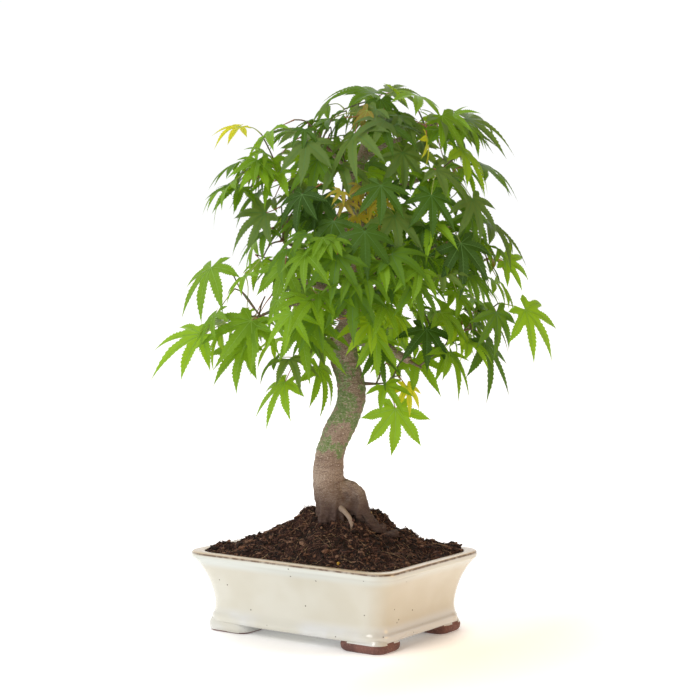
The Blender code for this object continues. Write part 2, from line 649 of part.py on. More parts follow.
class Mass:
    """One mass of leaves: a stem, the shoots that branch from it and their leaves."""

    def __init__(self, name, crown, seed):
        self.name = name
        self.crown = crown
        self.draw = random.Random(seed)
        self.solids = []
        self.spine = []
        self.shoots = []
        self.tips = []
        self.own = set()

    def grow_stem(self, start, direction):
        """The stem starts square at its bough's tip and ends where the shoots part."""
        fork = start + direction * STEM_LENGTH
        path = [start, fork]
        self.solids.append(limb_solid(path, [STEM_RADIUS, SHOOT_RADIUS], TWIG_SIDES))
        self.own.add(self.crown.stand(air_round(path, [STEM_RADIUS, SHOOT_RADIUS])))
        self.spine.append((start + direction * STEM_LENGTH * 0.8, direction))

    def parting(self, heart):
        """The point of the spine that a shoot to this leaf leaves from, and its direction."""
        best = None
        for point, direction in self.spine:
            gap = heart - point
            bend = TURN_COST - gap.normalized().dot(direction)
            cost = gap.length * bend
            if best is None or cost < best[0]:
                best = (cost, point, direction)
        return best[1:]

    def grow_tip(self, heart, heading, droop, roll, size):
        """A shoot out to a leaf that hangs at its end; it shifts a little to find room."""
        wanted = heart
        for attempt in range(TIP_TRIES):
            loose = min(attempt, LOOSEST)
            heart = wanted + plan_direction(90) * self.draw.uniform(-SHIFT_ASIDE, SHIFT_ASIDE) * loose
            heart += UP * self.draw.uniform(-SHIFT_UP, SHIFT_UP) * loose
            along, upper = hanging(heading, droop + self.draw.uniform(-SHIFT_DROOP, SHIFT_DROOP) * loose)
            upper = rolled(along, upper, roll + self.draw.uniform(-ROLL_SPREAD, ROLL_SPREAD))
            base = heart - along * (STALK_END * LEAF_REACH * size)
            start, direction = self.parting(base)
            way = (base - start).normalized()
            reach = (base - start).length
            lift = reach * (self.draw.uniform(*ARCHES) if attempt else ARCH)
            arrival = (way + along * self.draw.uniform(*ARRIVAL)).normalized()
            joint = base - arrival * min(STALK_LENGTH, reach * STALK_SHARE) + UP * lift * ARCH_AT_STALK
            aim = (direction + way).normalized()
            near = start + aim * NEAR_HANDLE * reach
            far = joint - arrival * FAR_HANDLE * reach + UP * lift
            path = bezier(start, near, far, joint, 2)
            path += [base - along * STALK_BEND * size, base]
            if self.add_shoot(path, heart, along, upper, size):
                self.tips.append(heart)
                return True
        return False

    def add_shoot(self, path, heart, along, upper, size):
        """Stand a shoot and the leaf at its end in the crown if they touch nothing."""
        middle = (SHOOT_RADIUS + SHOOT_TIP_RADIUS) / 2
        radii = [SHOOT_RADIUS, middle, SHOOT_TIP_RADIUS, STALK_RADIUS, STALK_RADIUS]
        if not self.stand_leaf(path, radii, heart, along, upper, size, SEVEN_LOBES):
            return False
        shoot = path[:-2]
        for before, after in zip(shoot, shoot[1:]):
            for share in SHOOT_JOINTS:
                self.spine.append((before.lerp(after, share), (after - before).normalized()))
        self.shoots.append(shoot)
        return True

    def stand_leaf(self, path, radii, heart, along, upper, size, outline):
        """Stand a leaf and its twig in the crown if they touch nothing, nor each other."""
        blade = blade_guard(heart, along, upper, size, outline)
        if self.crown.touches(blade):
            return False
        guard = air_round(path, radii)
        behind = BVHTree.FromPolygons(*air_round(path[:-1], radii[:-1]))
        if self.crown.touches(guard, self.own) or behind.overlap(BVHTree.FromPolygons(*blade)):
            return False
        solid = leaf_solid(path, radii, heart, along, upper, size, outline)
        if self.crown.touches(solid, self.own):
            return False
        self.solids.append(solid)
        self.own.add(self.crown.stand(guard))
        self.own.add(self.crown.stand(solid))
        self.crown.stand(blade)
        return True

    def grow_fan(self, middle, reach, count, axis):
        """Tips spread evenly round a middle point, pointing away from the trunk."""
        for i in range(count):
            level = 1 - 2 * (i + 0.5) / count
            ring = math.sqrt(1 - level * level)
            turn = GOLDEN_ANGLE * i + self.draw.uniform(*FAN_TURN)
            offset = (ring * math.cos(turn) * reach[0], ring * math.sin(turn) * reach[1], level * reach[2])
            heart = world(*(m + o for m, o in zip(middle, offset)))
            outward = heart - axis(heart.z)
            outward.z = 0
            for attempt in range(FAN_TRIES):
                spin = self.draw.uniform(-FAN_SPIN, FAN_SPIN) * attempt / FAN_TRIES
                heading = turned(outward.normalized(), spin)
                droop = self.draw.uniform(*FAN_DROOP)
                shift = Vector([self.draw.uniform(-1, 1) for side in "xyz"]) * attempt * FAN_SHIFT
                if self.grow_tip(heart + shift, heading, droop, 0, self.draw.uniform(*FAN_SIZE)):
                    break

    def grow_pairs(self, axis, in_space):
        """Pairs of leaves at the joints of every shoot, from its tip inward."""
        for shoot in list(self.shoots):
            lengths = [0.0]
            for before, after in zip(shoot[::-1], shoot[-2::-1]):
                lengths.append(lengths[-1] + (after - before).length)
            place = 0.0
            joint = 0
            while place < lengths[-1] - NODE_END:
                i = max(k for k in range(len(lengths)) if lengths[k] <= place)
                back = shoot[::-1]
                share = (place - lengths[i]) / (lengths[i + 1] - lengths[i])
                point = back[i].lerp(back[i + 1], share)
                direction = (back[i] - back[i + 1]).normalized()
                for sign in (1, -1):
                    self.grow_leaf(point, direction, sign, joint, axis, in_space)
                place += NODE_STEP
                joint += 1

    def grow_leaf(self, point, direction, sign, joint, axis, in_space):
        """One leaf of a pair, on its own stalk, where there is room for it."""
        aside = direction.cross(UP)
        if aside.length < 0.2:
            aside = plan_direction(0)
        aside.normalize()
        over = aside.cross(direction).normalized()
        for attempt in range(PAIR_TRIES):
            sweep = self.draw.uniform(*PAIR_SWEEP)
            rise = self.draw.uniform(*PAIR_RISE[joint % 2])
            length = STALK_LENGTH * self.draw.uniform(*PAIR_STALK)
            size = self.draw.uniform(*PAIR_SIZE)
            spin = self.draw.uniform(*PAIR_SPIN)
            droop = self.draw.uniform(*PAIR_DROOP)
            roll = self.draw.uniform(*PAIR_ROLL)
            reach = (direction * PAIR_AHEAD + aside * (sign * sweep) + over * rise).normalized() * length
            heart = point + reach
            outward = heart - axis(heart.z)
            outward.z = 0
            heading = turned(outward.normalized() * PAIR_OUTWARD + reach.normalized(), spin)
            heading.z = 0
            heading.normalize()
            along, upper = hanging(heading, droop)
            upper = rolled(along, upper, roll)
            if not in_space(self, heart):
                continue
            base = heart - along * (STALK_END * LEAF_REACH * size)
            stalk = [point, base - along * STALK_BEND * size, base]
            if self.stand_leaf(stalk, [STALK_RADIUS] * 3, heart, along, upper, size, FIVE_LOBES):
                return


def turned(direction, angle):
    """A level direction turned about the upright."""
    turn = math.radians(angle)
    x = direction.x * math.cos(turn) - direction.y * math.sin(turn)
    y = direction.x * math.sin(turn) + direction.y * math.cos(turn)
    return Vector((x, y, direction.z))


def trunk_at(height):
    """Trunk's centre and radius, in millimetres, at a height."""
    path = smooth_path(TRUNK, 4)
    for low, high in zip(path, path[1:]):
        if low[2] <= height <= high[2]:
            share = (height - low[2]) / (high[2] - low[2])
            return [a + (b - a) * share for a, b in zip(low, high)]
    return path[0] if height < path[0][2] else path[-1]


def trunk_axis(height):
    """Point of the trunk's centre line at a height in metres."""
    row = trunk_at(height / MM)
    return Vector((*world(row[0], row[1], 0)[:2], height))


def build_pot(parts, spare, glaze):
    """The tray, with its rim, hollow and base moulding, and the four feet fused on."""
    rings = [[(x, y, z * MM) for x, y in wall_outline(inset * MM)] for inset, z in OUTER_WALL + INNER_WALL]
    pot = mesh_object("pot", *loft(rings), parts, glaze)
    centre_x = POT_LENGTH / 2 - FOOT_INSET - FOOT_LENGTH / 2
    centre_y = POT_WIDTH / 2 - FOOT_INSET - FOOT_WIDTH / 2
    for sign_x in (1, -1):
        for sign_y in (1, -1):
            rings = []
            for inset, z in FOOT_PROFILE:
                trim = 2 * inset * MM
                corner = FOOT_CORNER - inset * MM
                outline = rounded_outline(FOOT_LENGTH - trim, FOOT_WIDTH - trim, corner, 0, 2, 1, 1)
                rings.append([(x + sign_x * centre_x, y + sign_y * centre_y, z * MM) for x, y in outline])
            mesh_object("foot", *loft(rings), spare)
    join(pot, spare)
    return pot


def mound_height(share, x, y):
    """Height of the soil at a share of the way from the mound's top to the pot's wall."""
    rise = 1 - share ** MOUND_SLOPE
    lumps = math.sin(x * 190 + 1.3) * math.cos(y * 230 + 0.4) + 0.6 * math.sin(x * 410 - y * 350)
    return SOIL_EDGE + (MOUND_TOP - SOIL_EDGE) * rise + lumps * SOIL_LUMP * (1 - share) ** 0.3


def build_soil(parts, finish):
    """The soil, which fits the pot's hollow and rises to the mound."""
    rings = []
    for inset, z in reversed(INNER_WALL[2:]):
        level = max(z * MM, POT_FLOOR + CLEAR)
        rings.append([(x, y, level) for x, y in wall_outline(inset * MM + SOIL_GAP)])
    edge = wall_outline(INNER_WALL[1][0] * MM + SOIL_LEDGE)
    rings.append([(x, y, SOIL_EDGE) for x, y in edge])
    top = world(MOUND_ACROSS, MOUND_TOWARD, 0)
    for ring in range(1, SOIL_RINGS):
        share = 1 - ring / SOIL_RINGS
        row = []
        for x, y in edge:
            out = Vector((x, y, 0)) - top
            out = out * share + out.normalized() * MOUND_RADIUS * (1 - share)
            px, py, level = top + out * share
            row.append((px, py, mound_height(share, px, py)))
        rings.append(row)
    return mesh_object("soil", *loft(rings), parts, finish)


def cut_flat(piece, cutters, height):
    """Take away what lies below a level."""
    bpy.ops.mesh.primitive_cube_add(size=CUTTER_SIZE, location=(0, 0, height - CUTTER_SIZE / 2))
    box = bpy.context.object
    box.name = "ground_cutter"
    for home in list(box.users_collection):
        home.objects.unlink(box)
    cutters.objects.link(box)
    hide_guide(box)
    boolean(piece, "DIFFERENCE", box)
    keep_one_body(piece)


def build_trunk(name, collection, spare, cutters, finish, swell=0.0):
    """The trunk with its roots fused on, cut flat at the ground; swell makes its cutter."""
    trunk = curve_limb(name, smooth_path(TRUNK, 1), TRUNK_RESOLUTION, collection, finish, swell)
    for number, root in enumerate(ROOTS):
        curve_limb("root_%d" % number, smooth_path(root, 1), ROOT_RESOLUTION, spare, None, swell)
    join(trunk, spare)
    cut_flat(trunk, cutters, GROUND_CUT * MM - swell)
    return trunk


def bough_path(start_height, points, first_radius, last_radius):
    """Rows of a bough from the trunk's centre line to its tip."""
    centre = trunk_at(start_height)[:3]
    rows = [centre, *points]
    lengths = [0.0]
    for before, after in zip(rows, rows[1:]):
        lengths.append(lengths[-1] + math.dist(before, after))
    taper = [first_radius + (last_radius - first_radius) * length / lengths[-1] for length in lengths]
    return smooth_path([(*row, radius) for row, radius in zip(rows, taper)], 2)


def main():
    for old in list(bpy.data.objects):
        bpy.data.objects.remove(old)
    scene = bpy.context.scene.collection
    parts = bpy.data.collections.new("maple_bonsai")
    cutters = bpy.data.collections.new("cutters")
    spare = bpy.data.collections.new("to_join")
    for made in (parts, cutters, spare):
        scene.children.link(made)

    glaze = material("cream glaze", GLAZE, 0.22)
    earth = material("soil", EARTH, 0.95)
    bark = material("bark", BARK, 0.85)
    green = material("maple leaf", LEAF_GREEN, 0.5)

    build_pot(parts, spare, glaze)
    soil = build_soil(parts, earth)
    build_trunk("trunk", parts, spare, cutters, bark)
    swollen = build_trunk("trunk_cutter", cutters, spare, cutters, None, CLEAR)
    hide_guide(swollen)
    boolean(soil, "DIFFERENCE", swollen)
    keep_one_body(soil)

    crown = Crown()
    rows = smooth_path(TRUNK, 2)
    points = [world(*row[:3]) for row in rows]
    crown.stand(limb_solid(points, [row[3] * MM + AIR for row in rows], GUARD_SIDES))
    starts = {"trunk": (points[-1], (points[-1] - points[-2]).normalized())}
    for name, row in BOUGHS.items():
        rows = bough_path(*row)
        bough = curve_limb(name, rows, BOUGH_RESOLUTION, parts, bark)
        boolean(bough, "DIFFERENCE", swollen)
        keep_one_body(bough)
        points = [world(*each[:3]) for each in rows]
        crown.stand(limb_solid(points, [each[3] * MM + AIR for each in rows], GUARD_SIDES))
        starts[name] = (points[-1], (points[-1] - points[-2]).normalized())

    masses = []
    for seed, (name, row) in enumerate(MASSES.items()):
        mass = Mass(name, crown, SEED + seed)
        start = row["start"]
        if isinstance(start, str):
            point, direction = starts[start]
            mass.grow_stem(point + direction * CLEAR, direction)
        else:
            height, angle = start
            direction = plan_direction(angle)
            point = trunk_axis(height * MM)
            mass.grow_stem(point + direction * (trunk_at(height)[3] * MM + CLEAR), direction)
        masses.append(mass)
    for mass in masses:
        for across, toward, height, angle, *hang in MASSES[mass.name]["tips"]:
            grown = mass.grow_tip(world(across, toward, height), plan_direction(angle), *hang)
            if not grown:
                print("no room for a tip of", mass.name, across, toward, height)
    for mass in masses:
        mass.grow_fan(*MASSES[mass.name]["fan"], trunk_axis)

    def in_space(mass, heart):
        """A leaf stays nearer its own mass's tips than any other's, and within their reach."""
        own = min((tip - heart).length for tip in mass.tips)
        others = [(tip - heart).length for other in masses if other is not mass for tip in other.tips]
        spread = max((tip - trunk_axis(tip.z)).length for tip in mass.tips)
        within = heart.z < max(tip.z for tip in mass.tips) and (heart - trunk_axis(heart.z)).length < spread
        return within and own < min(others) * SPACE_SHARE

    for mass in masses:
        mass.grow_pairs(trunk_axis, in_space)

    for piece in parts.objects:
        piece.data.shade_smooth()
        piece.data.set_sharp_from_angle(angle=SHARP_EDGE)
    for mass in masses:
        whole = mesh_object(mass.name, *mass.solids[0], parts, green)
        for points, faces in mass.solids[1:]:
            mesh_object("twig", points, faces, spare)
        join(whole, spare)
        print(mass.name, "has", len(mass.solids) - 1, "leaves")
    bpy.data.collections.remove(spare)

    stand = bpy.data.objects.new("plant_origin", None)
    stand.location = (-BOX_MIDDLE_X, -BOX_MIDDLE_Y, 0.0)
    parts.objects.link(stand)
    for piece in [*parts.objects, *cutters.objects]:
        if piece is not stand:
            piece.parent = stand


main()
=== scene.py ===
import json
import math
import random
from collections import namedtuple

import bmesh
import bpy
import numpy as np
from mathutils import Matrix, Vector, noise
from mathutils.bvhtree import BVHTree
from mathutils.kdtree import KDTree

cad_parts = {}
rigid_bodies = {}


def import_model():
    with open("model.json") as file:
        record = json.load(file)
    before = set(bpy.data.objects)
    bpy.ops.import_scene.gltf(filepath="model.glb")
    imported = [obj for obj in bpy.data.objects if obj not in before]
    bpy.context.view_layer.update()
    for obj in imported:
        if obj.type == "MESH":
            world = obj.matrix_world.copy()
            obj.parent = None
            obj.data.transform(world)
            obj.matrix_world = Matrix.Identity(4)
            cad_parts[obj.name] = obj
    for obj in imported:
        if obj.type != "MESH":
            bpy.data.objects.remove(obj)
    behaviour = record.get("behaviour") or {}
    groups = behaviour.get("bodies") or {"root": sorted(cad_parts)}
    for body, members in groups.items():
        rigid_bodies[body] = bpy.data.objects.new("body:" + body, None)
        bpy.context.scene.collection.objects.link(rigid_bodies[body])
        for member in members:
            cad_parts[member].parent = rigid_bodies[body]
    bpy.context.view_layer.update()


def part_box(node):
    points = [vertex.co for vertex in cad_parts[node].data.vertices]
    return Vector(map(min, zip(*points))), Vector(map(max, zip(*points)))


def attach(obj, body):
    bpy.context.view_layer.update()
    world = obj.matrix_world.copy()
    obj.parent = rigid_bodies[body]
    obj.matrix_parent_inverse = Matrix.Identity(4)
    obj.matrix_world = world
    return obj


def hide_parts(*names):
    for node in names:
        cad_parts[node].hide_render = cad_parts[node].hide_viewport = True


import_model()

MM = 0.001
CLEAR = 0.3 * MM
UP = Vector((0.0, 0.0, 1.0))
BODY = "root"
POT_LOW, POT_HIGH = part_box("pot")
# Everything is laid out from the pot's middle, which lies here.
POT_MIDDLE = Vector(((POT_LOW.x + POT_HIGH.x) / 2, (POT_LOW.y + POT_HIGH.y) / 2, 0.0))

# The tree's front is turned from the long side of the pot by this angle.
FACING = math.radians(34.7)
# Pot: a rounded tray, long along X, whose walls draw in under a thick rim.
POT_LENGTH = 205 * MM
POT_WIDTH = 154 * MM
POT_CORNER = 18 * MM
SIDE_BOW = 1.2 * MM
# An outline's corners tighten by this share of its inset. Steps of its corners and sides.
CORNER_SHARPENS = 0.15
POT_STEPS = (10, 34, 24)
FOOT_STEPS = (8, 5, 3)
# The glaze lies unevenly: how often to the metre, how far, and over which height, as the feet
# stand on flat undersides. Then the angle from which an edge is sharp.
GLAZE_WAVES = 24
GLAZE_WAVE = 0.35 * MM
FLAT_UNDER = 1 * MM
SHARP_EDGE = math.radians(45)
# Outer wall from the underside to the rim: inset from the rim's edge, height.
OUTER_WALL = ((14.0, 8.0), (12.6, 9.2), (12.6, 13.5), (13.9, 17.0), (14.5, 24.0), (13.4, 33.0), (10.4, 44.5),
              (6.2, 54.0), (2.2, 60.3), (0.0, 63.2), (0.0, 66.8), (0.9, 68.0))
# Inner wall from the rim down to the floor.
INNER_WALL = ((7.4, 68.0), (8.3, 67.0), (9.4, 61.0), (17.0, 40.0), (21.0, 14.5))

# Feet: one rounded pad under each corner of the pot.
FOOT_LENGTH = 44 * MM
FOOT_WIDTH = 36 * MM
FOOT_CORNER = 11 * MM
FOOT_INSET = 12.0 * MM
# Inset of a foot's outline and height, from the ground up into the pot's base.
FOOT_PROFILE = ((3.0, 0.0), (0.6, 2.0), (0.0, 6.0), (2.0, 10.5))

# Soil: it starts below the rim and rises in a mound whose top lies just behind the trunk.
# The mound is round at its top and takes the pot's outline at its edge.
SOIL_EDGE = 66 * MM
MOUND_TOP = 111 * MM
MOUND_ACROSS = 1.0
MOUND_TOWARD = -15.0
MOUND_RADIUS = 76 * MM
MOUND_SLOPE = 1.25
SOIL_LUMP = 1.1 * MM
# Its lumps are two crossed waves and a weaker one aslant them: how often to the metre, and from
# where. They fade toward the wall.
LUMP_ACROSS = (190, 1.3)
LUMP_ALONG = (230, 0.4)
LUMP_ASLANT = (410, 350)
ASLANT_WEAKER = 0.6
LUMP_FADES = 0.3

# Trunk: across, toward the viewer, height and radius in millimetres.
TRUNK = ((-1, 0, 78, 16.5), (-1, 0, 90, 14.6), (-1, 0, 103, 13.8), (-4, 0, 119, 13.8), (-5, 1, 135, 13.3),
         (-3, 3, 152, 12.0), (3, 5, 169, 12.1), (10, 5, 183, 12.1), (14, 4, 197, 12.0), (14, 2, 209, 12.1),
         (11, 0, 221, 11.4), (8, -2, 233, 12.1), (7, -3, 243, 12.0), (11, -3, 255, 10.2), (14, -2, 266, 9.0),
         (15, 0, 281, 8.5), (15, 2, 302, 7.8), (17, 3, 323, 7.1), (18, 2, 346, 6.4), (17, 0, 368, 5.5),
         (20, 0, 389, 4.5), (25, 0, 408, 3.6), (28, 0, 421, 3.0))
# The knob at its foot and the roots that show on the mound, in the same way. The knob is slimmer
# than its solid and runs on into the soil, and the thick root lies on the mound's front.
KNOB = ((6, 2, 124, 8.0), (15, 3, 119, 9.0), (22, 4, 111, 8.2), (26, 5, 103, 5.0))
KNOB_SMALLER = 0.86
KNOB_END = (27, 4, 93, 4.2)
THICK_ROOT = ((5, 3, 107, 6.8), (19, 9, 103, 5.8), (28, 14, 94, 4.9), (38, 17, 88, 4.5), (48, 17, 82.5, 3.9),
              (56, 16, 77.5, 3.3), (60, 15, 72, 2.8))
LEFT_ROOT = ((-2, 6, 101, 6.0), (-9, 9, 93, 6.0), (-13, 11, 84, 5.6), (-15, 12, 80, 5.6))
BACK_ROOT = ((1, -4, 105, 6.6), (9, -13, 96, 6.4), (14, -18, 88, 6.0), (16, -20, 80, 6.0))
FRONT_ROOT = ((4, 8, 106, 3.0), (10, 18, 102, 2.0), (14, 23, 96, 1.9), (15, 26, 87, 1.8), (15, 27, 82, 1.8))

# Boughs: height at which each leaves the trunk, then the points that it passes and its
# tip (across, toward, height), with its radius at the trunk and at the tip.
BOUGHS = {
    "bough_left_low": (262, ((-12, 12, 279), (-34, 24, 279), (-52, 28, 272)), 5.2, 2.6),
    "bough_left_mid": (291, ((-8, 10, 312), (-34, 20, 326)), 4.6, 2.3),
    "bough_left_upper": (333, ((-8, 6, 356), (-34, 10, 372)), 3.8, 2.0),
    "bough_top_left": (379, ((8, 3, 392), (-4, 7, 406)), 2.8, 1.7),
    "bough_right_low": (246, ((36, 20, 245), (51, 29, 237), (62, 34, 231)), 5.4, 3.0),
    "bough_right_mid": (272, ((36, 12, 289), (54, 19, 307), (74, 24, 320)), 5.0, 2.3),
    "bough_right_upper": (350, ((44, 5, 370), (78, 10, 384)), 3.8, 2.0),
    "bough_top_right": (395, ((42, 2, 410), (66, 5, 419)), 2.8, 1.7),
    "bough_front": (284, ((14, 38, 294), (10, 62, 306)), 4.4, 2.2),
    "bough_front_upper": (344, ((17, 16, 352), (16, 28, 358)), 3.4, 1.9),
    "bough_back": (306, ((22, -30, 322), (26, -54, 330)), 4.4, 2.2),
    "bough_back_left": (277, ((-8, -28, 290), (-30, -48, 296)), 4.6, 2.3),
    "bough_back_right": (294, ((42, -28, 303), (68, -48, 308)), 4.6, 2.3),
    "bough_back_upper": (358, ((18, -22, 371), (15, -38, 383)), 3.2, 1.8),
}

# Masses of leaves. "start" is the bough whose tip the stem meets, or the height and the
# plan angle at which the stem leaves the trunk. "tips" are the leaves that give the
# crown its outline: across, toward, height, the plan angle that the leaf points to, how
# far it hangs below the level, how far it rolls about its middle lobe, and its size.
# "fan" spreads more tips round a middle point, within a reach on each axis.
MASSES = {
    "leaves_crown_top": dict(
        start="trunk",
        tips=((33, 8, 453, 165, 28, 0, 1.15), (47, -6, 455, 12, 30, 0, 1.05),
              (17, 45, 417, 100, 62, 0, 1.0), (56, 40, 402, 70, 66, 0, 0.9),
              (39, -30, 441, 270, 45, 0, 1.0)),
        fan=((24, -14, 430), (34, 34, 12), 3)),
    "leaves_top_left": dict(
        start="bough_top_left",
        tips=((10, 2, 431, 178, 40, -15, 1.0), (-23, 15, 420, 165, 35, 0, 1.0),
              (-13, 45, 396, 115, 60, 0, 1.0)),
        fan=((-22, -18, 404), (26, 22, 16), 3)),
    "leaves_top_right": dict(
        start="bough_top_right",
        tips=((97, 5, 424, 15, 45, 10, 1.0), (111, -5, 433, 355, 46, 20, 1.05),
              (76, 45, 414, 85, 74, 0, 0.6), (105, 30, 405, 50, 62, 0, 1.0)),
        fan=((82, -22, 410), (26, 22, 14), 3)),
    "leaves_right_upper": dict(
        start="bough_right_upper",
        tips=((123, 8, 397, 14, 58, 15, 1.0), (129, 5, 345, 12, 48, 25, 1.0),
              (113, 35, 363, 45, 62, 0, 0.95), (79, 60, 367, 80, 66, 0, 0.95)),
        fan=((100, 20, 378), (26, 30, 18), 3)),
    "leaves_left_upper": dict(
        start="bough_left_upper",
        tips=((-79, 0, 426, 170, 35, -30, 0.6),
              (-78, 15, 375, 160, 48, 0, 1.0), (-89, 0, 378, 188, 48, -20, 0.95)),
        fan=((-58, 18, 380), (24, 32, 20), 3)),
    "leaves_left_mid": dict(
        start="bough_left_mid",
        tips=((-57, 25, 353, 130, 74, 0, 1.0), (-67, -12, 331, 195, 60, -20, 0.9),
              (-40, 45, 313, 118, 65, 0, 1.0)),
        fan=((-48, 14, 330), (24, 30, 20), 4)),
    "leaves_left_low": dict(
        start="bough_left_low",
        tips=((-103, 10, 308, 118, 52, 0, 1.05), (-111, 15, 252, 172, 32, -50, 1.2),
              (-68, 35, 265, 150, 45, 0, 1.05), (-73, 20, 243, 138, 72, 0, 1.0)),
        fan=((-74, 14, 276), (28, 34, 16), 4)),
    "leaves_left_under": dict(
        start=(247, 150),
        tips=((-27, 52, 262, 100, 78, 0, 1.0), (-41, 25, 213, 122, 68, 0, 1.0),
              (-4, 27, 224, 115, 82, 0, 0.85)),
        fan=((-32, 24, 244), (20, 24, 12), 2)),
    "leaves_front_low": dict(
        start=(262, 85),
        tips=((16, 80, 290, 95, 62, 0, 1.05), (34, 50, 252, 75, 70, 0, 0.85)),
        fan=((8, 76, 268), (48, 20, 16), 4)),
    "leaves_front_mid": dict(
        start="bough_front",
        tips=((3, 95, 318, 102, 55, 0, 1.0), (64, 75, 298, 62, 55, 0, 1.0),
              (25, 85, 337, 88, 60, 0, 0.95)),
        fan=((18, 76, 316), (50, 18, 20), 4)),
    "leaves_front_upper": dict(
        start="bough_front_upper",
        tips=((49, 65, 350, 70, 58, 0, 1.05), (0, 65, 344, 112, 60, 0, 1.0),
              (38, 72, 374, 86, 60, 0, 0.85)),
        fan=((16, 52, 364), (44, 18, 18), 4)),
    "leaves_right_mid": dict(
        start="bough_right_mid",
        tips=((144, 10, 313, 40, 58, 0, 0.95), (103, 55, 328, 65, 70, 0, 1.05),
              (112, 30, 351, 40, 60, 0, 1.0), (122, -6, 336, 5, 52, 0, 1.0)),
        fan=((98, 26, 318), (32, 34, 22), 4)),
    "leaves_right_low": dict(
        start="bough_right_low",
        tips=((159, 20, 273, 14, 44, 40, 1.15), (134, 30, 271, 60, 78, 0, 1.0),
              (126, 25, 246, 72, 80, 0, 1.05), (95, 40, 238, 88, 78, 0, 0.85),
              (76, 46, 258, 90, 60, 0, 0.95)),
        fan=((106, 16, 268), (38, 34, 14), 4)),
    "leaves_right_under": dict(
        start=(210, 12),
        tips=((51, 30, 191, 90, 82, 0, 1.0), (56, 6, 224, 30, 60, 0, 0.7), (60, 34, 210, 60, 60, 0, 0.6)),
        fan=((44, 10, 216), (14, 20, 8), 1)),
    "leaves_back_mid": dict(
        start="bough_back",
        tips=(),
        fan=((28, -80, 330), (46, 28, 34), 6)),
    "leaves_back_left": dict(
        start="bough_back_left",
        tips=(),
        fan=((-52, -62, 290), (48, 36, 32), 7)),
    "leaves_back_right": dict(
        start="bough_back_right",
        tips=(),
        fan=((92, -60, 300), (42, 40, 36), 7)),
    "leaves_back_upper": dict(
        start="bough_back_upper",
        tips=(),
        fan=((14, -52, 392), (48, 26, 30), 6)),
    "leaves_back_low": dict(
        start=(256, 275),
        tips=(),
        fan=((22, -56, 250), (52, 28, 18), 6)),
}

# A leaf: pointed lobes round the heart, where its stalk joins it. Each lobe is an angle
# from the middle one and a share of the leaf's reach.
LEAF_REACH = 39 * MM
LEAF_THICK = 0.9 * MM
LEAF_DROOP = 0.30
SEVEN = ((-124, 0.38), (-76, 0.74), (-37, 0.93), (0, 1.0), (37, 0.93), (76, 0.74), (124, 0.38))
FIVE = ((-92, 0.62), (-42, 0.90), (0, 1.0), (42, 0.90), (92, 0.62))
NOTCH = 0.36
BASAL_NOTCH = 0.27
BASAL_REACH = 0.5

# Stems, shoots and leaf stalks are three-sided. The air round each is a six-sided tube.
TWIG_SIDES = 3
AIR_SIDES = 6
GUARD_SIDES = 12
STEM_RADIUS = 2.0 * MM
STEM_LENGTH = 12 * MM
SHOOT_RADIUS = 1.6 * MM
SHOOT_TIP_RADIUS = 1.1 * MM
STALK_RADIUS = 0.8 * MM
STALK_LENGTH = 19 * MM
# The stalk ends this share of the leaf's reach behind the heart, and bends this far before it.
STALK_END = 0.10
STALK_BEND = 7 * MM
# Air that twigs and leaves keep round every other solid.
AIR = 0.45 * MM
SEED = 20

# A shoot leaves the nearest part of its mass that points its way: a turn costs this much.
TURN_COST = 1.7
# A shoot leaves and arrives along handles of these shares of its length.
NEAR_HANDLE = 0.33
FAR_HANDLE = 0.25
SHOOT_JOINTS = (0.33, 0.67, 1.0)
# Its last length is the leaf's stalk, no longer than this share of the whole.
STALK_SHARE = 0.45
# It arches by a share of its length, and comes in partly along the leaf's middle lobe.
ARCH = 0.08
ARCHES = (-0.15, 0.35)
ARCH_AT_STALK = 0.3
ARRIVAL = (0.3, 1.1)
# A leaf that shapes the crown has many tries, and shifts further at each of the first ones.
TIP_TRIES = 30
LOOSEST = 6
SHIFT_ASIDE = 2.5 * MM
SHIFT_UP = 0.5 * MM
SHIFT_DROOP = 2
ROLL_SPREAD = 10
# Leaves of a fan stand round its middle by the golden angle, and point outward.
GOLDEN_ANGLE = math.pi * (3 - math.sqrt(5))
FAN_TURN = (0, 0.6)
FAN_TRIES = 3
FAN_SPIN = 35
FAN_DROOP = (38, 72)
FAN_SIZE = (0.8, 1.0)
FAN_SHIFT = 2 * MM
# Leaves in pairs stand at the joints of a shoot, each on its own stalk. Every other pair
# leans up more. Their ranges: sweep aside, rise, length of stalk, size and three angles.
NODE_STEP = 27 * MM
NODE_END = 4 * MM
PAIR_TRIES = 10
NEAR_UPRIGHT = 0.2
PAIR_AHEAD = 0.5
PAIR_OUTWARD = 1.2
PAIR_SWEEP = (0.5, 1.0)
PAIR_RISE = ((-0.1, 0.7), (0.2, 1.1))
PAIR_STALK = (0.8, 1.5)
PAIR_SIZE = (0.72, 1.0)
PAIR_SPIN = (-30, 30)
PAIR_DROOP = (35, 80)
PAIR_ROLL = (-22, 22)
# Room kept for the boxes of the solids that stand in the crown, and the slack between boxes.
MOST_STANDING = 6000
TINY = 1e-6
# A leaf of a pair stays in its own mass's space: no nearer to another's tips than this share.
SPACE_SHARE = 1.15

# Finer pairs: place of the first joint, sizes and stalks. Their points lie this near to the
# points of the leaves that give the crown its outline.
FINE_PAIRS = ((13.5 * MM, (0.7, 1.0), (0.7, 1.5)), (6 * MM, (0.6, 0.95), (0.8, 2.0)),
              (20 * MM, (0.6, 0.95), (0.6, 1.8)), (2 * MM, (0.5, 0.85), (0.6, 2.2)),
              (10 * MM, (0.45, 0.8), (0.6, 2.6)))
FINE_REACH = 15 * MM
# Share of a finer leaf's size that keeps clear of other leaves, and its spin, droop and roll.
FINE_GUARD = 0.52
FINE_TURNS = ((-75, 75), (15, 75), (-40, 40))
